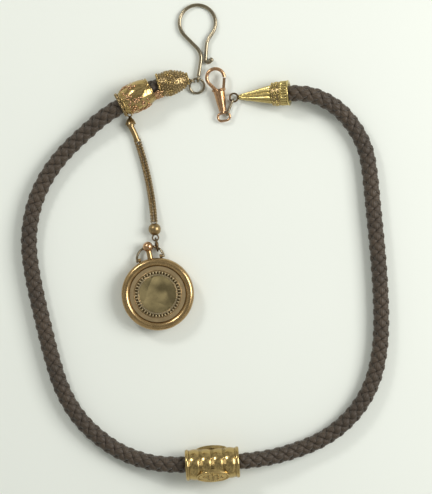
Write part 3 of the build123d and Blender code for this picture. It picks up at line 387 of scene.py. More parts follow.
class Wirework:
    """Gathers bars, tubes, grains and turned skins of one piece, in mm."""

    def __init__(self):
        self.points = []
        self.faces = []
        self.uvs = []
        self.stuffs = []

    def grid(self, rings, closed_run=False, uvs=None, stuff=0, capped=False):
        """Adds closed rings of points as a skin, joined one to the next."""
        rings = np.asarray(rings, float)
        count, sides = rings.shape[:2]
        start = len(self.points)
        self.points.extend(rings.reshape(-1, 3))
        if uvs is None:
            uvs = np.zeros((count, sides, 2))
        self.uvs.extend(np.asarray(uvs).reshape(-1, 2))
        for row in range(count if closed_run else count - 1):
            here, following = start + row * sides, start + (row + 1) % count * sides
            for column in range(sides):
                beside = (column + 1) % sides
                self.faces.append((
                    here + column, here + beside, following + beside, following + column))
                self.stuffs.append(stuff)
        if capped:
            self.faces.append(tuple(start + column for column in reversed(range(sides))))
            self.faces.append(tuple(start + (count - 1) * sides + c for c in range(sides)))
            self.stuffs.extend((stuff, stuff))

    def bar(self, line, normals, half_width, half_height, sides=10):
        """Adds a bar of oval section whose flat side faces its normals."""
        ahead = unit(np.gradient(line, axis=0))
        across = unit(np.cross(ahead, normals))
        outward = np.cross(across, ahead)
        turns = np.arange(sides) * FULL_TURN / sides
        half_width = np.broadcast_to(half_width, len(line))[:, None, None]
        half_height = np.broadcast_to(half_height, len(line))[:, None, None]
        rings = (
            line[:, None, :]
            + across[:, None, :] * np.cos(turns)[None, :, None] * half_width
            + outward[:, None, :] * np.sin(turns)[None, :, None] * half_height
        )
        steps = np.linalg.norm(np.diff(line, axis=0), axis=1)
        runs = np.concatenate([[0], np.cumsum(steps)])
        uvs = np.stack(np.broadcast_arrays(runs[:, None], turns[None, :] / FULL_TURN), axis=-1)
        self.grid(rings, uvs=uvs, capped=True)

    def tube(self, line, radius, sides=8, closed=False, stuff=0):
        """Adds a round wire along a line, open or closed."""
        line = np.asarray(line, float)
        if closed:
            ahead = unit(np.roll(line, -1, axis=0) - np.roll(line, 1, axis=0))
        else:
            ahead = unit(np.gradient(line, axis=0))
        radius = np.broadcast_to(radius, len(line))
        # Any vector that no wire here runs along gives the first section its turn
        normal = np.cross(ahead[0], (0.3, 0.5, 0.8))
        turns = np.arange(sides) * FULL_TURN / sides
        rings = []
        for place, run, thick in zip(line, ahead, radius):
            normal = unit(normal - run * np.dot(normal, run))
            side = np.cross(run, normal)
            ring = np.outer(np.cos(turns), normal) + np.outer(np.sin(turns), side)
            rings.append(place + ring * thick)
        self.grid(rings, closed_run=closed, stuff=stuff, capped=not closed)

    def grain(self, place, radius, rows=5, sides=8):
        """Adds a soldered grain, a little flattened where it sits."""
        turns = np.arange(sides) * FULL_TURN / sides
        rings = []
        for row in range(rows + 1):
            tilt = math.pi * (row + 0.15) / (rows + 0.3)
            ring = np.stack([np.cos(turns) * math.sin(tilt), np.sin(turns) * math.sin(tilt),
                             np.full(sides, math.cos(tilt))], axis=1)
            rings.append(np.asarray(place) + ring * radius)
        self.grid(rings, capped=True)

    def turned(self, axes, outline, turns, **ends):
        """Adds the skin turned from an outline of distances and radii."""
        place, along, up, side = axes
        outward = np.outer(np.cos(turns), up) + np.outer(np.sin(turns), side)
        rings = [place + along * ahead + outward * np.broadcast_to(reach, len(turns))[:, None]
                 for ahead, reach in outline]
        self.grid(rings, **ends)

    def piece(self, name, body, slot, *finish_names, replaced=()):
        """Makes the gathered shapes into one object that rides on a body."""
        mesh = bpy.data.meshes.new(name)
        mesh.from_pydata((np.array(self.points) * MM).tolist(), [], self.faces)
        layer = mesh.uv_layers.new(name="strand")
        corners = np.zeros(len(mesh.loops), np.int32)
        mesh.loops.foreach_get("vertex_index", corners)
        layer.data.foreach_set("uv", np.array(self.uvs, np.float32)[corners].ravel())
        mesh.polygons.foreach_set("use_smooth", [True] * len(mesh.polygons))
        for finish in finish_names:
            mesh.materials.append(finishes[finish])
        mesh.polygons.foreach_set("material_index", self.stuffs)
        mesh.update()
        made = carried(mesh, body)
        if replaced:
            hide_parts(*replaced)
        return made


class Goldwork(Wirework):
    """Wires and grains that are soldered on one turned surface."""

    def __init__(self, axes, profile):
        super().__init__()
        self.axes = axes
        self.profile = profile

    def spot(self, ahead, turn, lift=0.0):
        """Point on the surface, at a distance along its axis and a turn from its top."""
        place, along, up, side = self.axes
        outward = up * math.cos(turn) + side * math.sin(turn)
        return place + along * ahead + outward * (self.profile(ahead) + lift)

    def scroll(self, middle, size, start, turns, hand, wire, eye):
        """Lays a tapering scroll with a grain in its eye."""
        line = [self.spot(ahead, across / self.profile(ahead), wire * 0.35)
                for ahead, across in scroll(middle, size, start, turns, hand)]
        self.tube(line, np.linspace(1.15, 0.55, len(line)) * wire)
        self.grain(line[0], eye)

    def leaf(self, foot, size, aim, curl, thick, count=12):
        """Lays a curved leaf, thick in its middle."""
        line = []
        for share in np.linspace(0, 1, count):
            lean = aim + curl * (share - 0.5)
            ahead = foot[0] + size * share * math.cos(lean)
            across = foot[1] + size * share * math.sin(lean)
            line.append(self.spot(ahead, across / self.profile(ahead), thick * 0.2))
        swell = np.sin(math.pi * np.linspace(0.08, 0.97, count))
        self.tube(line, thick * (0.25 + 0.75 * swell))

    def ring(self, ahead, wire, count=96):
        """Lays a round wire round the surface."""
        turns = np.linspace(0, FULL_TURN, count, endpoint=False)
        self.tube([self.spot(ahead, turn) for turn in turns], wire, closed=True)

    def grains(self, ahead, radius, count, shift=0.0, lift=0.0):
        """Lays a row of grains round the surface."""
        for number in range(count):
            turn = shift + FULL_TURN * (number + 0.5) / count
            self.grain(self.spot(ahead, turn, lift), radius)


# Finishes

finishes = {}


def set_up(tree, node, settings, links):
    """Sets a node's properties or inputs, and links the rest; a node gives its first output."""
    for key, value in (settings or {}).items():
        if isinstance(key, int) or key in node.inputs:
            node.inputs[key].default_value = value
        else:
            setattr(node, key, value)
    for key, source in (links or {}).items():
        tree.links.new(getattr(source, "outputs", (source,))[0], node.inputs[key])
    return node


def add_node(tree, kind, settings=None, links=None):
    """Adds a shader node with its settings and links."""
    return set_up(tree, tree.nodes.new(kind), settings, links)


def blank(name):
    """Starts a finish: its tree, its principled shader and the object's coordinates."""
    material = bpy.data.materials.new(name)
    material.use_nodes = True
    finishes[name] = material
    tree = material.node_tree
    shader = next(n for n in tree.nodes if n.type == "BSDF_PRINCIPLED")
    return tree, shader, add_node(tree, "ShaderNodeTexCoord").outputs["Object"]


def metal(name, colour, tarnish_and_shade, polish=0.2, dull=0.38, grime_and_shade=0.8, hollow=0.5,
          grain=0.0, grain_depth=0.0, lines=0.0, line_depth=0.0):
    """Worn metal: bright where it is rubbed, darkened in the hollows, partly as real tarnishing
    and partly as painted shade, with fine scratches.

    hollow, grain and lines are real sizes in mm: of a hollow that the darkening fills, of a
    raised grain, and of the space between engraved lines."""
    tree, shader, place = blank(name)
    clouds = add_node(tree, "ShaderNodeTexNoise",
                      {"Scale": per_size(2.2), "Detail": 4.0, "Roughness": 0.6}, {"Vector": place})
    specks = add_node(tree, "ShaderNodeTexNoise",
                      {"Scale": per_size(0.35), "Detail": 3.0}, {"Vector": place})
    # Painted shade: ambient occlusion blends the darkening colour into hollows and between close
    # parts, partly standing for real tarnishing and partly for the shade there
    cover = add_node(tree, "ShaderNodeAmbientOcclusion",
                     {"samples": 8, "only_local": True, "Distance": hollow * MM})
    unshaded_share = add_node(tree, "ShaderNodeMapRange",
                          {1: 0.35, 2: 0.9, 3: 1.0 - grime_and_shade, 4: 1.0}, {0: cover.outputs["AO"]})
    patch = add_node(tree, "ShaderNodeMapRange", {1: 0.3, 2: 0.7, 3: 0.8, 4: 1.06}, {0: clouds})
    bright = add_node(tree, "ShaderNodeMix", {"data_type": "RGBA", "blend_type": "MULTIPLY",
                                              0: 1.0, 6: opaque(colour)}, {7: patch})
    tarnished_and_shaded = add_node(tree, "ShaderNodeMix", {"data_type": "RGBA", 6: opaque(tarnish_and_shade)},
                      {0: unshaded_share, 7: bright.outputs[2]})
    rubbed = add_node(tree, "ShaderNodeMapRange",
                      {1: 0.3, 2: 0.75, 3: polish, 4: dull}, {0: specks})
    height, depth = specks, SCRATCH_DEPTH
    if grain:
        cells = add_node(tree, "ShaderNodeTexVoronoi",
                         {"Scale": per_size(grain), "Randomness": 0.55}, {"Vector": place})
        height = add_node(tree, "ShaderNodeMath", {"operation": "SUBTRACT", 0: 1.0}, {1: cells})
        depth = grain_depth
    if lines:
        waves = add_node(tree, "ShaderNodeTexWave",
                         {"Scale": per_size(lines) / 20, "Distortion": 6.0, "Detail": 2.0,
                          "Detail Scale": 1.4}, {"Vector": place})
        height, depth = waves.outputs["Fac"], line_depth
    bump = add_node(tree, "ShaderNodeBump", {"Strength": 0.8, "Distance": depth * MM},
                    {"Height": height})
    set_up(tree, shader, {"Metallic": 1.0},
           {"Base Color": tarnished_and_shaded.outputs[2], "Roughness": rubbed, "Normal": bump})


def twisted_silk(name, colour, shade):
    """Spun silk: a soft gloss over fine threads that lean along each strand."""
    tree, shader, place = blank(name)
    run = add_node(tree, "ShaderNodeUVMap", {"uv_map": "strand"})
    parts = add_node(tree, "ShaderNodeSeparateXYZ", {}, {0: run})
    # A thread is drawn about 0.5 mm wide, coarser than in real silk, so that it shows
    round_part = add_node(tree, "ShaderNodeMath",
                          {"operation": "MULTIPLY", 1: SILK_THREADS * FULL_TURN},
                          {0: parts.outputs[1]})
    run_part = add_node(tree, "ShaderNodeMath",
                        {"operation": "MULTIPLY", 1: SILK_TWIST * FULL_TURN}, {0: parts})
    both = add_node(tree, "ShaderNodeMath", {"operation": "ADD"}, {0: round_part, 1: run_part})
    ridge = add_node(tree, "ShaderNodeMath", {"operation": "SINE"}, {0: both})
    thread = add_node(tree, "ShaderNodeMapRange", {1: -1.0, 2: 1.0, 3: 0.0, 4: 1.0}, {0: ridge})
    fuzz = add_node(tree, "ShaderNodeTexNoise",
                    {"Scale": per_size(0.5), "Detail": 5.0, "Roughness": 0.7}, {"Vector": place})
    fade = add_node(tree, "ShaderNodeTexNoise",
                    {"Scale": per_size(9.0), "Detail": 2.0}, {"Vector": place})
    # Painted shade: ambient occlusion darkens the silk to its shade colour between close strands
    cover = add_node(tree, "ShaderNodeAmbientOcclusion",
                     {"samples": 8, "only_local": True, "Distance": 1.2 * MM})
    unshaded_share = add_node(tree, "ShaderNodeMapRange", {1: 0.3, 2: 0.95, 3: 0.0, 4: 1.0},
                          {0: cover.outputs["AO"]})
    mixed = add_node(tree, "ShaderNodeMath", {"operation": "MULTIPLY"}, {0: thread, 1: fuzz})
    share = add_node(tree, "ShaderNodeMapRange", {1: 0.0, 2: 0.6, 3: 0.35, 4: 1.0}, {0: mixed})
    lit = add_node(tree, "ShaderNodeMath", {"operation": "MULTIPLY"}, {0: share, 1: unshaded_share})
    base = add_node(tree, "ShaderNodeMix",
                    {"data_type": "RGBA", 6: opaque(shade), 7: opaque(colour)}, {0: lit})
    age = add_node(tree, "ShaderNodeMapRange", {1: 0.3, 2: 0.7, 3: 0.78, 4: 1.12}, {0: fade})
    aged = add_node(tree, "ShaderNodeMix", {"data_type": "RGBA", "blend_type": "MULTIPLY", 0: 1.0},
                    {6: base.outputs[2], 7: age})
    bump = add_node(tree, "ShaderNodeBump", {"Strength": 0.7, "Distance": 0.06 * MM},
                    {"Height": mixed})
    set_up(tree, shader, {"Roughness": 0.58, "Sheen Weight": 0.25, "Sheen Roughness": 0.4},
           {"Base Color": aged.outputs[2], "Normal": bump})


def printed_card():
    """Pasteboard card, matt and slightly yellowed, with a faint paper grain."""
    tree, shader, place = blank("pasteboard_printed")
    fibres = add_node(tree, "ShaderNodeTexNoise",
                      {"Scale": per_size(0.3), "Detail": 4.0}, {"Vector": place})
    tone = add_node(tree, "ShaderNodeMix",
                    {"data_type": "RGBA", 6: opaque(linear("#d8cfb4")),
                     7: opaque(linear("#efe8d2"))}, {0: fibres})
    bump = add_node(tree, "ShaderNodeBump", {"Strength": 0.4, "Distance": 0.02 * MM},
                    {"Height": fibres})
    set_up(tree, shader, {"Roughness": 0.85}, {"Base Color": tone.outputs[2], "Normal": bump})


def printing_ink():
    """Black printing ink, matt, broken a little by the card under it."""
    tree, shader, place = blank("printing_ink_black")
    breaks = add_node(tree, "ShaderNodeTexNoise", {"Scale": per_size(0.2)}, {"Vector": place})
    tone = add_node(tree, "ShaderNodeMix",
                    {"data_type": "RGBA", 6: opaque(linear("#15130f")),
                     7: opaque(linear("#2d2a24"))}, {0: breaks})
    set_up(tree, shader, {"Roughness": 0.7}, {"Base Color": tone.outputs[2]})


def watch_glass():
    """Ground crystal glass, clear, with faint hairline wear in its gloss."""
    tree, shader, place = blank("crystal_glass_ground")
    wear = add_node(tree, "ShaderNodeTexNoise",
                    {"Scale": per_size(0.8), "Detail": 3.0}, {"Vector": place})
    gloss = add_node(tree, "ShaderNodeMapRange", {1: 0.3, 2: 0.8, 3: 0.02, 4: 0.09}, {0: wear})
    set_up(tree, shader, {"Transmission Weight": 1.0, "IOR": 1.5}, {"Roughness": gloss})


FINISHED_NODES = {
    "rolled_gold_beaten": ("clasp_dome",),
    "rolled_gold_buffed": (
        "cap_end_band", "slide_tube", "slide_rim_left", "slide_rim_right",
        "medallion_bezel_front", "medallion_bezel_back", "cap_pellet_ring", "slide_barrel"),
    "gold_granulation_soldered": ("dome_pellet_ring", "clasp_cap", "cone_band"),
    "rolled_gold_engraved": ("medallion_front", "medallion_back"),
    "gilt_brass_drawn": (
        "wire_hook", "hook_ball", "jump_ring", "cap_eye", "oval_link", "fob_bow"),
    "rose_gold_polished": (
        "swivel_body", "swivel_hook", "swivel_collar", "swivel_gate", "gate_pin",
        "swivel_bail", "crown_ball", "clasp_saddle"),
    "gold_chain_worn": (
        "drop_cap", "neck_band", "drop_ferrule", "drop_bead",
        *(f"chain_links_{group + 1}" for group in range(LINK_GROUPS))),
    "gold_plate_worn_through": ("fob_link", "cone_eye", "drop_eye"),
    "gilding_metal_spun": ("case_band", "pendant_stem", "glass_bezel", "pivot_post"),
    "gilding_metal_matted": ("back_panel",),
    "gilding_metal_turned": ("step_ring",),
    # The milled ring's dark brown is painted shade between the teeth
    "gilding_metal_painted_shade": ("milled_ring",),
    "gilding_metal_polished": ("centre_boss",),
    "crystal_glass_ground": ("crystal",),
    "pasteboard_printed": ("compass_card",),
    "spring_steel_heat_blued": ("compass_needle", "gate_spring"),
    "brass_turned": ("needle_cap",),
}


def make_finishes(colours):
    """Makes every metal, the card, its ink and the glass, from the colours in the panel."""
    # The darkening colour of most metals: partly real tarnishing and partly painted shade in the
    # hollows
    dirt_and_shade = colours.tarnish_and_shade
    # Rolled gold plate, buffed: soft mirror streaks, with brown tarnishing and painted shade in
    # the chasing
    metal("rolled_gold_buffed", colours.gold, dirt_and_shade, polish=0.13, dull=0.3, hollow=0.7)
    # Rolled gold plate, beaten from inside: small flats that each throw their own highlight
    metal("rolled_gold_beaten", colours.gold, dirt_and_shade, polish=0.12, dull=0.26, grime_and_shade=0.85,
          hollow=0.9, grain=3.2, grain_depth=0.3)
    # Rolled gold plate, less worn: clear yellow with long highlights
    metal("rolled_gold_bright", colours.bright, dirt_and_shade, polish=0.13, dull=0.28, grime_and_shade=0.85,
          hollow=0.6)
    # Gold grains soldered on plate: sparkling points over a ground darkened by painted shade and
    # tarnishing
    metal("gold_granulation_soldered", colours.grains, dirt_and_shade, polish=0.16, dull=0.36, grime_and_shade=0.97,
          hollow=0.5, grain=0.45, grain_depth=0.09)
    # Hand-engraved gold plate: wavy cuts that break the light, spaced wider than real ones
    metal("rolled_gold_engraved", colours.gold, dirt_and_shade, polish=0.2, dull=0.4, grime_and_shade=0.85,
          hollow=0.6, lines=0.5, line_depth=0.05)
    # Drawn brass wire, gilt: pale, with a soft lengthwise gloss
    metal("gilt_brass_drawn", colours.pale, dirt_and_shade, polish=0.16, dull=0.3, grime_and_shade=0.7)
    # Copper-rich gold alloy, polished: warm pink glow with long highlights
    metal("rose_gold_polished", colours.rose, dirt_and_shade, polish=0.16, dull=0.32, grime_and_shade=0.75)
    # Gold chain rubbed dull by wear: brown tarnishing and painted shade between the loops
    metal("gold_chain_worn", colours.aged, dirt_and_shade, polish=0.26, dull=0.46, grime_and_shade=0.9, hollow=0.45)
    # Gold plate worn to the base metal: nearly brown
    metal("gold_plate_worn_through", linear("#6a563c"), dirt_and_shade, polish=0.3, dull=0.5)
    # Gilding metal, spun and lacquered: even satin, with painted shade and tarnishing darkening
    # the turned steps
    metal("gilding_metal_spun", colours.bronze, linear("#3a2812"), polish=0.2, dull=0.3,
          grime_and_shade=0.75, hollow=0.8)
    # Gilding metal, frosted with a matting punch: dull mauve brown between the rings
    metal("gilding_metal_matted", linear("#a8936f"), linear("#33281a"), polish=0.42, dull=0.6,
          grime_and_shade=0.7, hollow=0.9, grain=0.16, grain_depth=0.03)
    # Gilding metal, knurled, painted pale as a highlight: tops that look lit from every side
    metal("gilding_metal_knurled_painted_highlight", linear("#dccba2"), linear("#5a452a"), polish=0.5, dull=0.6,
          grime_and_shade=0.3, hollow=0.15)
    # Gilding metal, turned in steps on the lathe: bright edges, and roots darkened by painted
    # shade and tarnishing
    metal("gilding_metal_turned", linear("#efe0b8"), linear("#1c130a"), polish=0.18, dull=0.3,
          grime_and_shade=0.3, hollow=0.2)
    # Gilding metal of the knurled ring, painted dark brown as the shade between the teeth
    metal("gilding_metal_painted_shade", linear("#5a482e"), linear("#120c06"), polish=0.3, dull=0.45,
          grime_and_shade=0.95, hollow=0.35)
    # Gilding metal, polished on the wheel and a little dented: a mirror with broken reflections
    metal("gilding_metal_polished", linear("#d6c08c"), linear("#3a2812"), polish=0.06, dull=0.12,
          grime_and_shade=0.6, hollow=0.5, grain=9.0, grain_depth=0.4)
    # Spring steel, heat-blued: deep blue with a sharp gloss
    metal("spring_steel_heat_blued", linear("#2f3f78"), linear("#10131f"), polish=0.12, dull=0.22)
    # Brass, turned: a small bright yellow cap
    metal("brass_turned", linear("#d8b560"), dirt_and_shade, polish=0.12, dull=0.25)
    watch_glass()
    printed_card()
    printing_ink()


class FOB_OT_finish_castings(Operator):
    """Gives every CAD part of the fob its worn metal, glass or card finish"""

    bl_idname = "fob.finish_castings"
    bl_label = "Finish metal parts"

    def execute(self, context):
        make_finishes(context.scene.fob_metals)
        for finish, names in FINISHED_NODES.items():
            for name in names:
                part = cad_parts[name]
                if not part.material_slots:
                    part.data.materials.append(finishes[finish])
                for slot in part.material_slots:
                    slot.material = finishes[finish]
        return {"FINISHED"}


# Cord


def plait(route, sizes):
    """Plaits two sets of strands that cross over and under round a route's spline."""
    points, runs = along_nurbs(route, sizes.step)
    work = Wirework()
    ahead = unit(np.gradient(points, axis=0))
    side = unit(np.cross(ahead, (0.0, 0.0, 1.0)))
    up = np.cross(side, ahead)
    mean = sizes.radius - sizes.weave - sizes.half_height
    rate = FULL_TURN / sizes.repeat
    for hand in (1, -1):
        for number in range(sizes.strands):
            turn = hand * (runs * rate + number * FULL_TURN / sizes.strands)
            wave = np.cos(sizes.strands * runs * rate + (0 if hand == 1 else math.pi))
            reach = mean + sizes.weave * wave
            outward = side * np.cos(turn)[:, None] + up * np.sin(turn)[:, None]
            line = points + outward * reach[:, None]
            work.bar(line, outward, sizes.half_width, sizes.half_height)
    work.tube(points[::2], mean * CORE_SHARE, sides=12, stuff=1)
    return work, points


class FOB_OT_plait_cord(Operator):
    """Plaits the long silk cord from the clasp through the slide to the cone"""

    bl_idname = "fob.plait_cord"
    bl_label = "Plait the cord"

    def execute(self, context):
        sizes = context.scene.fob_cord
        # Spun silk, plaited: dull brown gloss on the strands, and painted black shade between them
        twisted_silk("silk_plaited", sizes.silk, sizes.shade)
        # Spun silk of the core, painted nearly black as the shade of the strands over it
        twisted_silk("silk_core_shaded", linear("#241a12"), linear("#0f0b08"))
        work, points = plait(CORD_ROUTE, sizes)
        cord = work.piece("plaited_silk_cord", "cord", "silk_braid", "silk_plaited",
                          "silk_core_shaded", replaced=("braided_cord",))
        return {"FINISHED"}


class FOB_OT_plait_window_cord(Operator):
    """Plaits the short cord end that shows in the clasp's window"""

    bl_idname = "fob.plait_window_cord"
    bl_label = "Plait the clasp's cord end"

    def execute(self, context):
        work, points = plait(WINDOW_ROUTE, context.scene.fob_cord)
        work.piece("plaited_cord_end", "cord", "silk_braid", "silk_plaited",
                   "silk_core_shaded", replaced=("clasp_cord_end",))
        return {"FINISHED"}


# Goldwork


class FOB_OT_dome_goldwork(Operator):
    """Solders scrolls, leaves and a beaded rim on the clasp's dome"""

    bl_idname = "fob.dome_goldwork"
    bl_label = "Dome goldwork"

    def execute(self, context):
        sizes = context.scene.fob_goldwork
        wire, granule = sizes.wire, sizes.granule
        axes = lying(DOME_PLACE, DOME_HEADING)
        profile = arc_profile((-DOME_HALF, DOME_MOUTH), (0, DOME_RADIUS), (DOME_HALF, DOME_MOUTH))
        gold = Goldwork(axes, profile)
        # Two wires on the cap's side, and a wire with a row of grains on the cord's side
        gold.ring(DOME_HALF - 0.35, 0.3)
        gold.ring(DOME_HALF - 1.0, 0.12)
        gold.ring(-DOME_HALF + 0.5, 0.2)
        gold.grains(-DOME_HALF + 1.15, granule, 34)
        gold.piece("dome_rim_wires", "cord", "yellow_gold_fill", "rolled_gold_buffed")
        rose = Goldwork(axes, profile)
        # Six groups all round: two scrolls, a fan of four leaves and three grains in each
        for number, hand in by_turns(6):
            across = (number - 1.2) * 5.1
            rose.scroll((-2.5, across), 1.35, 0.6 * hand, 1.4, hand, wire, granule)
            rose.scroll((-0.9, across + 2.3), 0.95, 2.4, 1.25, -hand, wire * 0.85, granule * 0.85)
            for leaf in range(4):
                rose.leaf((-2.6 + leaf * 0.75, across + 1.5 + leaf * 0.35), 1.9,
                          (1.9 - leaf * 0.75) * hand, 0.8 * hand, wire * 1.25)
            for grain in range(3):
                turn = (across + 2.6 + grain * 0.62) / DOME_RADIUS
                rose.grain(rose.spot(-3.55, turn), granule)
        # Five closer pairs on the side inside the cord's loop
        for number, hand in by_turns(5):
            across = 3.6 + number * 1.7
            rose.scroll((1.5 + 0.7 * hand, across), 0.85, number * 1.3, 1.3, hand, wire,
                        granule * 0.9)
            rose.leaf((2.4 - 0.9 * hand, across + 0.4), 1.6, 2.2 * hand, 0.7, wire * 1.2)
        rose.piece("dome_scrolls", "cord", "rose_gold", "rose_gold_polished")
        return {"FINISHED"}


class FOB_OT_cap_goldwork(Operator):
    """Covers the clasp's cap with rows of grains and small scrolls"""

    bl_idname = "fob.cap_goldwork"
    bl_label = "Cap goldwork"

    def execute(self, context):
        sizes = context.scene.fob_goldwork
        axes = lying(CAP_PLACE, CAP_HEADING)
        profile = arc_profile((-CAP_HALF, CAP_MOUTH), (-CAP_HALF / 4, CAP_RADIUS),
                              (CAP_HALF, CAP_END))
        fine = Goldwork(axes, profile)
        # The real grains are finer: these are as coarse as they need to be to show
        grain = sizes.granule * 1.35
        # Every second row starts half a grain on, so that the grains lie close
        row = 0
        ahead = -CAP_HALF + 0.45
        while ahead < CAP_HALF - 0.3:
            count = int(FULL_TURN * profile(ahead) / (grain * 2.6))
            fine.grains(ahead, grain, count, 0.5 * (row % 2) * FULL_TURN / count, -0.08)
            ahead += grain * 2.3
            row += 1
        fine.piece("cap_grains", "cord", "granulated_gold", "gold_granulation_soldered")
        bold = Goldwork(axes, profile)
        for number, hand in by_turns(7):
            across = (number - 2) * 3.4
            bold.scroll((-1.6, across), 1.1, 1.2 * hand, 1.35, hand, sizes.wire, sizes.granule)
            bold.leaf((-0.6, across + 1.3), 1.9, 0.5 * hand, hand, sizes.wire * 1.2)
        bold.grains(CAP_HALF - 1.2, 0.34, 16, lift=0.05)
        bold.piece("cap_scrolls", "cord", "yellow_gold_fill", "rolled_gold_buffed")
        return {"FINISHED"}


class FOB_OT_saddle_goldwork(Operator):
    """Solders a copper-coloured scroll strip on the saddle between dome and cap"""

    bl_idname = "fob.saddle_goldwork"
    bl_label = "Saddle goldwork"

    def execute(self, context):
        sizes = context.scene.fob_goldwork
        start = DOME_PLACE + toward(DOME_HEADING) * DOME_HALF
        work = Goldwork(lying(start, SADDLE_HEADING, SADDLE_RISE), lambda ahead: SADDLE_RADIUS)
        # The strip runs from near the top down the side inside the cord's loop
        for number, hand in by_turns(6):
            across = math.radians(38 + number * 21) * SADDLE_RADIUS
            work.scroll((1.1 + 0.25 * hand, across), 0.85, hand * 0.8, 1.3, hand, sizes.wire,
                        sizes.granule * 0.8)
            work.leaf((1.7, across + 0.75), 1.4, 0.9 * hand, 0.8, sizes.wire * 1.2)
        work.piece("saddle_scrolls", "cord", "rose_gold", "rose_gold_polished")
        return {"FINISHED"}


class FOB_OT_slide_goldwork(Operator):
    """Winds fine beaded wires into the barrel's grooves and chases its medallions"""

    bl_idname = "fob.slide_goldwork"
    bl_label = "Slide goldwork"

    def execute(self, context):
        sizes = context.scene.fob_goldwork
        axes = lying(SLIDE_PLACE, SLIDE_HEADING)
        place, along, up, side = axes
        lift = math.radians(MEDALLION_TILT)
        front = side * math.cos(lift) + up * math.sin(lift)
        rib = 2 * SLIDE_HALF / BARREL_RIBS
        wires = Goldwork(axes, barrel_profile)
        # Four wires in each groove, the middle two thicker, and one at each end
        for number in range(1, BARREL_RIBS):
            for shift, wire in ((-0.42, 0.13), (-0.12, 0.17), (0.2, 0.17), (0.48, 0.12)):
                self.open_ring(wires, front, -SLIDE_HALF + number * rib + shift, wire)
        for edge in (-1, 1):
            self.open_ring(wires, front, edge * (SLIDE_HALF - 0.2), 0.16)
        wires.piece("slide_wires", "slide", "yellow_gold_fill", "rolled_gold_buffed")
        for name, normal in (("front", front), ("back", -front)):
            self.medallion(name, place, along, normal, sizes.wire)
        return {"FINISHED"}

    def open_ring(self, work, front, ahead, wire):
        """Lays a wire round the barrel where no medallion covers it."""
        place, along = work.axes[:2]
        across = np.cross(along, front)
        run = []
        for turn in np.linspace(0.0, FULL_TURN, 121) + math.radians(RING_START):
            point = work.spot(ahead, turn, wire * 0.3)
            offset = point - place
            reach = math.hypot(ahead / CLEAR_HALF, np.dot(offset, across) / CLEAR_SIDE)
            if abs(np.dot(offset, front)) > MEDALLION_FOOT - 0.2 and reach < 1:
                if len(run) > 3:
                    work.tube(run, wire)
                run = []
            else:
                run.append(point)
        if len(run) > 3:
            work.tube(run, wire)

    def medallion(self, name, place, along, normal, wire):
        """Chases a spray of scrolls inside a beaded oval on one medallion."""
        across = np.cross(normal, along)
        crown = (MEDALLION_HALF**2 + MEDALLION_CROWN**2) / (2 * MEDALLION_CROWN)
        work = Wirework()

        def on_face(ahead, sideways, lift=0.0):
            """Point on the medallion's crowned face."""
            drop = crown - math.sqrt(crown**2 - ahead**2 - sideways**2)
            return place + along * ahead + across * sideways + normal * (
                MEDALLION_TOP - drop + lift)

        def beads(count, half, side, radius):
            """Lays an oval of beads on the face."""
            for number in range(count):
                turn = number * FULL_TURN / count
                work.grain(on_face(half * math.cos(turn), side * math.sin(turn)), radius)

        beads(MEDALLION_BEADS, MEDALLION_HALF - 0.3, MEDALLION_SIDE - 0.3, 0.17)
        # Each scroll's place along and across the medallion, and the hand it turns to
        sprays = ((-2.9, 0.0, 1), (2.9, 0.0, -1), (-1.5, 0.75, -1), (1.5, 0.75, 1),
                  (-1.5, -0.75, 1), (1.5, -0.75, -1), (0.0, 1.2, 1), (0.0, -1.2, -1))
        for ahead, sideways, hand in sprays:
            line = [on_face(x, y, 0.03) for x, y in
                    scroll((ahead, sideways), 0.75, hand * 0.9, 1.3, hand)]
            work.tube(line, np.linspace(1.1, 0.5, len(line)) * wire * 0.75)
        beads(8, 0.42, 0.42, 0.2)
        work.grain(on_face(0, 0, 0.05), 0.26)
        work.piece(f"medallion_chasing_{name}", "slide", "engraved_medallion",
                   "rolled_gold_buffed")


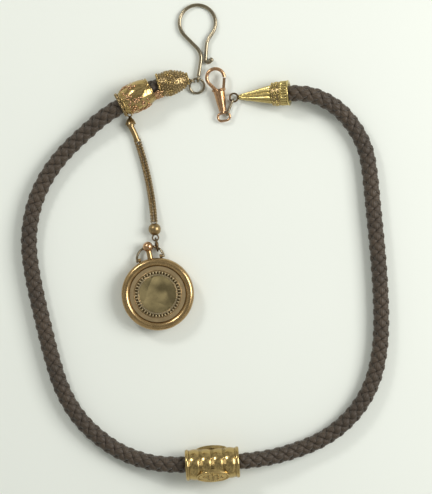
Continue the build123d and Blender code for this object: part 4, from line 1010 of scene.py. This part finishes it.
class FOB_OT_cone_goldwork(Operator):
    """Shapes the cone's gadroons, its flowered band and its reeded mouth"""

    bl_idname = "fob.cone_goldwork"
    bl_label = "Cone goldwork"

    def execute(self, context):
        sizes = context.scene.fob_goldwork
        axes = lying(CONE_PLACE, CONE_HEADING, CONE_RISE)
        self.gadroons(axes, sizes.gadroons)
        self.flowered_band(axes, sizes)
        self.reeded_mouth(axes, sizes.reeds)
        return {"FINISHED"}

    def waves(self, count, steps):
        """Turns round the cone, with the swell of its lobes or reeds from 0 to 1."""
        turns = np.arange(steps * count) * FULL_TURN / (steps * count)
        return turns, np.abs(np.cos(turns * count / 2))

    def gadroons(self, axes, count):
        """Turns the cone with rounded lobes that end in a round shoulder."""
        turns, lobe = self.waves(count, 16)
        outline = []
        # The lobes rise in the first sixth from the tip, and fall away over the shoulder
        for share in np.linspace(0, 1, 46):
            reach = CONE_TIP + (CONE_FLUTE_RADIUS - CONE_TIP) * share
            depth = 0.16 * min(1.0, share * 6) * reach
            shoulder = max(0.0, (share - 0.93) / 0.07)
            depth += shoulder**2 * 0.25 * (1 - lobe)
            outline.append((CONE_FLUTE_LENGTH * share,
                            reach - depth * (1 - lobe) - 0.3 * shoulder**3))
        # Behind them comes the tube, with the cup for the cord inside it
        outline += [
            (CONE_FLUTE_LENGTH + 0.02, CONE_BORE),
            (CONE_FLUTE_LENGTH + 0.04, CONE_TUBE_RADIUS),
            (CONE_LENGTH, CONE_TUBE_RADIUS),
            (CONE_LENGTH, CONE_BORE),
            (CONE_LENGTH - CONE_CUP_DEPTH, CONE_BORE),
        ]
        work = Wirework()
        work.turned(axes, outline, turns, capped=True)
        work.piece("cone_gadroons", "cord", "yellow_gold_fill", "rolled_gold_bright",
                   replaced=("cone_shell",))

    def flowered_band(self, axes, sizes):
        """Sets flowers and scrolls between beaded wires on the cone's band."""
        work = Goldwork(axes, lambda ahead: CONE_BAND_RADIUS)
        middle = CONE_FLUTE_LENGTH + CONE_BAND_WIDTH / 2
        petal_reach = 0.58
        for edge in (-1, 1):
            work.grains(middle + edge * (CONE_BAND_WIDTH / 2 - 0.22), 0.2, BAND_BEADS,
                        lift=-0.03)
        # Flowers of six petals, with a scroll between each two
        for number, hand in by_turns(BAND_FLOWERS):
            turn = number * FULL_TURN / BAND_FLOWERS
            work.grain(work.spot(middle, turn, 0.1), 0.3)
            for petal in range(6):
                lean = petal * FULL_TURN / 6
                work.grain(work.spot(middle + petal_reach * math.cos(lean),
                                     turn + petal_reach * math.sin(lean) / CONE_BAND_RADIUS,
                                     0.02), 0.29)
            work.scroll((middle + 0.2 * hand, turn * CONE_BAND_RADIUS + 1.68), 0.62, hand, 1.2,
                        hand, sizes.wire * 0.8, sizes.granule * 0.7)
        work.piece("cone_band_flowers", "cord", "granulated_gold", "rolled_gold_bright")

    def reeded_mouth(self, axes, count):
        """Shapes the band of short reeds and the plain lip at the mouth."""
        turns, wave = self.waves(count, 10)
        start = CONE_FLUTE_LENGTH + CONE_BAND_WIDTH + 0.02
        stop = start + REED_LENGTH
        bore = CONE_TUBE_RADIUS + 0.02
        reeded = REED_RADIUS - 0.34 * (1 - wave)
        outline = [
            (start, bore), (start, REED_RADIUS - 0.3), (start + 0.08, reeded),
            (start + 0.8, reeded), (stop - 0.8, reeded), (stop - 0.1, reeded),
            (stop, REED_RADIUS - 0.3), (stop + 0.02, LIP_RADIUS - 0.14),
            (stop + 0.12, LIP_RADIUS - 0.04), (stop + 0.3, LIP_RADIUS),
            (stop + 0.48, LIP_RADIUS - 0.04), (stop + 0.6, LIP_RADIUS - 0.16),
            (stop + 0.6, bore),
        ]
        work = Wirework()
        work.turned(axes, outline, turns, closed_run=True)
        work.piece("cone_mouth_reeds", "cord", "yellow_gold_fill", "rolled_gold_bright",
                   replaced=("cone_reeded_band",))


# Drop chain


class FOB_OT_plait_chain(Operator):
    """Fills the chain's middle with the leaning loops that give its herringbone"""

    bl_idname = "fob.plait_chain"
    bl_label = "Plait the chain"

    def execute(self, context):
        total = LINKS_PER_GROUP * LINK_GROUPS
        first, last = LINK_HEADINGS
        centre = np.array(LINK_START)
        for group in range(LINK_GROUPS):
            work = Wirework()
            for place in range(LINKS_PER_GROUP):
                number = group * LINKS_PER_GROUP + place + 1
                heading = first + (last - first) * number / total
                lifted = max(0, number - total + LIFT_LINKS) / LIFT_LINKS
                # The last links climb to the bead
                rise = LIFT_PEAK * math.sin(math.pi * min(lifted, 1))
                centre = centre + toward(heading, rise) * LINK_PITCH
                origin, along, up, side = lying(centre, heading, rise)
                # Two loops on each side of the link, the second lower and further on
                for hand in (-1, 1):
                    for shift, height in ((0.0, 0.42), (0.45, 0.2)):
                        line = [origin + along * (0.34 + shift - 0.62 * share)
                                + side * hand * (0.04 + 0.72 * share)
                                + up * (height - 0.1 * share)
                                for share in np.linspace(0, 1, 7)]
                        work.tube(line, (0.1, 0.2, 0.24, 0.24, 0.22, 0.18, 0.08))
            work.piece(f"chain_plait_{group + 1}", f"chain_{group + 1}", "aged_gold",
                       "gold_chain_worn")
        return {"FINISHED"}


class FOB_OT_darken_bead_eye(Operator):
    """Sheathes the bead's eye and the fob's link in dark twisted wire"""

    bl_idname = "fob.darken_bead_eye"
    bl_label = "Bead eye"

    def execute(self, context):
        twists = np.cos(np.arange(72) * FULL_TURN / 72 * BEAD_EYE_TWISTS)
        work = Wirework()
        work.tube(circle(BEAD_EYE_PLACE, BEAD_EYE_RADIUS, 72), 0.25 + 0.03 * twists, closed=True)
        work.piece("bead_eye_wire", "drop_bead", "aged_gold", "gold_plate_worn_through")
        along, up = np.array(FOB_LINK_ALONG), np.array(FOB_LINK_UP)
        shares = np.linspace(0, 1, 15)
        bend = np.sin(math.pi * shares)
        line = (np.array(FOB_LINK_PLACE) + along * (shares[:, None] * 2.6 - 1.3)
                + up * (FOB_LINK_RISE + 0.22 * bend[:, None]))
        sleeve = Wirework()
        sleeve.tube(line, 0.2 + 0.42 * bend, sides=16)
        sleeve.piece("fob_link_sleeve", "fob_link", "aged_gold", "gold_plate_worn_through")
        return {"FINISHED"}


# Fob


class FOB_OT_mill_case_back(Operator):
    """Knurls the ring on the case's back and turns fine beads round its boss"""

    bl_idname = "fob.mill_case_back"
    bl_label = "Mill the case back"

    def execute(self, context):
        # The pale teeth are a painted highlight over the ring's painted shade
        teeth = Wirework()
        for number in range(MILLED_COUNT):
            turn = (number + 0.5) * FULL_TURN / MILLED_COUNT
            run = np.array([math.cos(turn), math.sin(turn), 0.0])
            line = np.array([run * reach + (0, 0, MILLED_TOP) for reach in
                             np.linspace(MILLED_INNER + 0.02, MILLED_OUTER + 0.1, 4)])
            teeth.bar(line, np.tile((0.0, 0.0, 1.0), (4, 1)), (0.12, 0.19, 0.19, 0.12), 0.3)
        teeth.piece("case_back_teeth", "fob_case", "bronze_gold", "gilding_metal_knurled_painted_highlight")
        # One bead outside the teeth and two round the boss
        rings = Wirework()
        for radius, height, wire in ((MILLED_OUTER + 0.3, PANEL_TOP + 0.03, 0.1),
                                     (BOSS_RADIUS + 0.1, PANEL_TOP + 0.3, 0.06),
                                     (BOSS_RADIUS + 0.4, PANEL_TOP + 0.3, 0.06)):
            rings.tube(circle((0, 0, height), radius, 144), wire, closed=True)
        rings.piece("case_back_beads", "fob_case", "bronze_gold", "gilding_metal_spun")
        return {"FINISHED"}


class FOB_OT_print_compass_card(Operator):
    """Prints the compass card's degree marks, star and four letters"""

    bl_idname = "fob.print_compass_card"
    bl_label = "Print the compass card"

    def execute(self, context):
        # The card faces the table, so its print sits just under it and reads from below
        floor = CARD_HEIGHT - 0.035
        work = Wirework()

        def pointer(number, count, half, *outline):
            """Prints one mark from its outline of reaches and sides."""
            turn = number * FULL_TURN / count
            run = np.array([math.cos(turn), math.sin(turn)])
            wide = np.array([-run[1], run[0]]) * half
            corners = [run * reach + wide * sign for reach, sign in outline]
            work.grid([[(x, y, floor + z) for x, y in corners] for z in (0.0, 0.03)], capped=True)

        for number in range(CARD_MARKS):
            length, half = (1.1, 0.09) if number % 6 == 0 else (0.6, 0.05)
            inner, outer = CARD_RADIUS - length, CARD_RADIUS - 0.1
            pointer(number, CARD_MARKS, half, (inner, -1), (inner, 1), (outer, 1), (outer, -1))
        for number in range(CARD_POINTS):
            reach = 5.2 if number % 2 == 0 else 3.6
            pointer(number, CARD_POINTS, 0.55, (0.9, 0), (1.6, 1), (reach, 0), (1.6, -1))
        work.piece("card_marks", "fob_case", "white_card", "printing_ink_black")
        for letter, turn in (("N", 90), ("E", 180), ("S", 270), ("W", 0)):
            self.letter(letter, math.radians(turn), floor + 0.012)
        return {"FINISHED"}

    def letter(self, letter, turn, height):
        """Sets one letter of the card, mirrored so that it reads from below."""
        text = bpy.data.curves.new(f"letter_{letter}", "FONT")
        text.body = letter
        text.size = 1.7 * MM
        text.extrude = 0.01 * MM
        text.align_x = "CENTER"
        text.align_y = "CENTER"
        holder = bpy.data.objects.new("letter_holder", text)
        mesh = bpy.data.meshes.new_from_object(holder)
        mesh.name = f"card_letter_{letter}"
        bpy.data.objects.remove(holder)
        reach = LETTER_REACH * MM
        for vertex in mesh.vertices:
            x, y, z = vertex.co
            vertex.co = (reach * math.cos(turn) - x, reach * math.sin(turn) + y, height * MM - z)
        mesh.materials.clear()
        mesh.materials.append(finishes["printing_ink_black"])
        carried(mesh, "fob_case")


# Stage and panel


class FOB_OT_set_stage(Operator):
    """Sets the paper floor, the soft room light and the camera overhead"""

    bl_idname = "fob.set_stage"
    bl_label = "Set the stage"

    def execute(self, context):
        look = context.scene.fob_stage
        self.floor(look)
        self.lights(context, look)
        self.camera(context, look)
        context.scene.view_settings.view_transform = "Standard"
        return {"FINISHED"}

    def floor(self, look):
        """Lays one large sheet of pale matt paper under the fob."""
        mesh = bpy.data.meshes.new("paper_floor")
        low = cad_box[0][2]
        corners = [(x * FLOOR_HALF, y * FLOOR_HALF, low)
                   for x, y in ((-1, -1), (1, -1), (1, 1), (-1, 1))]
        mesh.from_pydata(corners, [], [(0, 1, 2, 3)])
        # Drawing paper, matt: pale grey green with a faint cloud
        tree, shader, place = blank("paper_matt")
        tone = add_node(tree, "ShaderNodeTexNoise", {"Scale": per_size(60.0)}, {"Vector": place})
        mix = add_node(tree, "ShaderNodeMix",
                       {"data_type": "RGBA", 6: opaque(look.floor),
                        7: opaque([min(1.0, c * 1.03) for c in look.floor])},
                       {0: tone})
        set_up(tree, shader, {"Roughness": 0.9, "Specular IOR Level": 0.2},
               {"Base Color": mix.outputs[2]})
        mesh.materials.append(finishes["paper_matt"])
        floor = bpy.data.objects.new("paper_floor", mesh)
        bpy.context.scene.collection.objects.link(floor)

    def lights(self, context, look):
        """Lights the table from a soft room and a large window on the right."""
        world = bpy.data.worlds.new("soft_room")
        context.scene.world = world
        world.use_nodes = True
        tree = world.node_tree
        sky = next(n for n in tree.nodes if n.type == "BACKGROUND")
        where = add_node(tree, "ShaderNodeTexCoord")
        parts = add_node(tree, "ShaderNodeSeparateXYZ", {}, {0: where})
        level = add_node(tree, "ShaderNodeMapRange",
                         {1: 0.0, 2: 0.9, 3: look.side_sky, 4: look.top_sky},
                         {0: parts.outputs[2]})
        # A darker patch overhead, which the polished tops reflect
        overhead = add_node(tree, "ShaderNodeVectorMath",
                            {"operation": "DOT_PRODUCT", 1: (-0.12, -0.1, 0.99)}, {0: where})
        shade = add_node(tree, "ShaderNodeMapRange", {1: 0.93, 2: 0.99, 3: 1.0, 4: 0.8},
                         {0: overhead.outputs["Value"]})
        # Broad light and dark patches, as a furnished room gives
        room = add_node(tree, "ShaderNodeTexNoise", {"Scale": 4.5, "Detail": 0.5},
                        {"Vector": where})
        clutter = add_node(tree, "ShaderNodeMapRange", {1: 0.42, 2: 0.6, 3: 0.5, 4: 1.4},
                           {0: room})
        dimmed = add_node(tree, "ShaderNodeMath", {"operation": "MULTIPLY"}, {0: level, 1: shade})
        shaded = add_node(tree, "ShaderNodeMath", {"operation": "MULTIPLY"},
                          {0: dimmed, 1: clutter})
        set_up(tree, sky, {"Color": opaque(linear("#f4f6f2"))}, {"Strength": shaded})
        for name, offset, size, power in (
                ("window_light", (0.42, 0.1, 0.42), 0.32, look.key_power),
                ("fill_light", (-0.3, 0.34, 0.4), 0.12, look.fill_power)):
            lamp = bpy.data.lights.new(name, "AREA")
            lamp.shape = "SQUARE"
            lamp.size = size
            lamp.energy = power
            made = bpy.data.objects.new(name, lamp)
            made.location = np.add(LAMP_AIM, offset)
            made.rotation_euler = self.facing(offset)
            context.scene.collection.objects.link(made)

    def facing(self, offset):
        """Turn that points a lamp from its offset back at the middle."""
        x, y, z = offset
        return (math.atan2(math.hypot(x, y), z), 0.0, math.atan2(y, x) + math.pi / 2)

    def camera(self, context, look):
        """Hangs the camera over the table, with the photograph's framing."""
        data = bpy.data.cameras.new("overhead_camera")
        data.sensor_width = SENSOR_WIDTH
        data.lens = SENSOR_WIDTH * look.camera_height / FRAME_HEIGHT
        data.clip_start = 0.01
        made = bpy.data.objects.new("overhead_camera", data)
        made.location = (*CAMERA_PLACE, look.camera_height)
        context.scene.collection.objects.link(made)
        context.scene.camera = made


class FOB_PT_workshop(Panel):
    """Sizes, colours and steps of the watch fob"""

    bl_idname = "FOB_PT_workshop"
    bl_label = "Watch fob"
    bl_space_type = "VIEW_3D"
    bl_region_type = "UI"
    bl_category = "Watch fob"

    def draw(self, context):
        for group in GROUPS:
            settings = getattr(context.scene, group)
            for name in settings.__annotations__:
                self.layout.prop(settings, name)
        for operator in OPERATORS:
            self.layout.operator(operator.bl_idname)


GROUPS = {
    "fob_cord": CordSizes,
    "fob_metals": MetalColours,
    "fob_goldwork": GoldworkSizes,
    "fob_stage": StageLook,
}
OPERATORS = (
    FOB_OT_finish_castings,
    FOB_OT_set_stage,
    FOB_OT_plait_cord,
    FOB_OT_plait_window_cord,
    FOB_OT_dome_goldwork,
    FOB_OT_cap_goldwork,
    FOB_OT_saddle_goldwork,
    FOB_OT_slide_goldwork,
    FOB_OT_cone_goldwork,
    FOB_OT_plait_chain,
    FOB_OT_darken_bead_eye,
    FOB_OT_mill_case_back,
    FOB_OT_print_compass_card,
)


def register():
    """Adds the fob's settings, steps and panel to Blender."""
    for name, group in GROUPS.items():
        bpy.utils.register_class(group)
        setattr(bpy.types.Scene, name, PointerProperty(type=group))
    for kind in (*OPERATORS, FOB_PT_workshop):
        bpy.utils.register_class(kind)


def unregister():
    """Takes the fob's settings, steps and panel out again."""
    for kind in (FOB_PT_workshop, *reversed(OPERATORS)):
        bpy.utils.unregister_class(kind)
    for name, group in GROUPS.items():
        delattr(bpy.types.Scene, name)
        bpy.utils.unregister_class(group)


def main():
    """Runs every step in order."""
    register()
    bpy.ops.fob.finish_castings()
    bpy.ops.fob.set_stage()
    bpy.ops.fob.plait_cord()
    bpy.ops.fob.plait_window_cord()
    bpy.ops.fob.dome_goldwork()
    bpy.ops.fob.cap_goldwork()
    bpy.ops.fob.saddle_goldwork()
    bpy.ops.fob.slide_goldwork()
    bpy.ops.fob.cone_goldwork()
    bpy.ops.fob.plait_chain()
    bpy.ops.fob.darken_bead_eye()
    bpy.ops.fob.mill_case_back()
    bpy.ops.fob.print_compass_card()


if __name__ == "__main__":
    main()
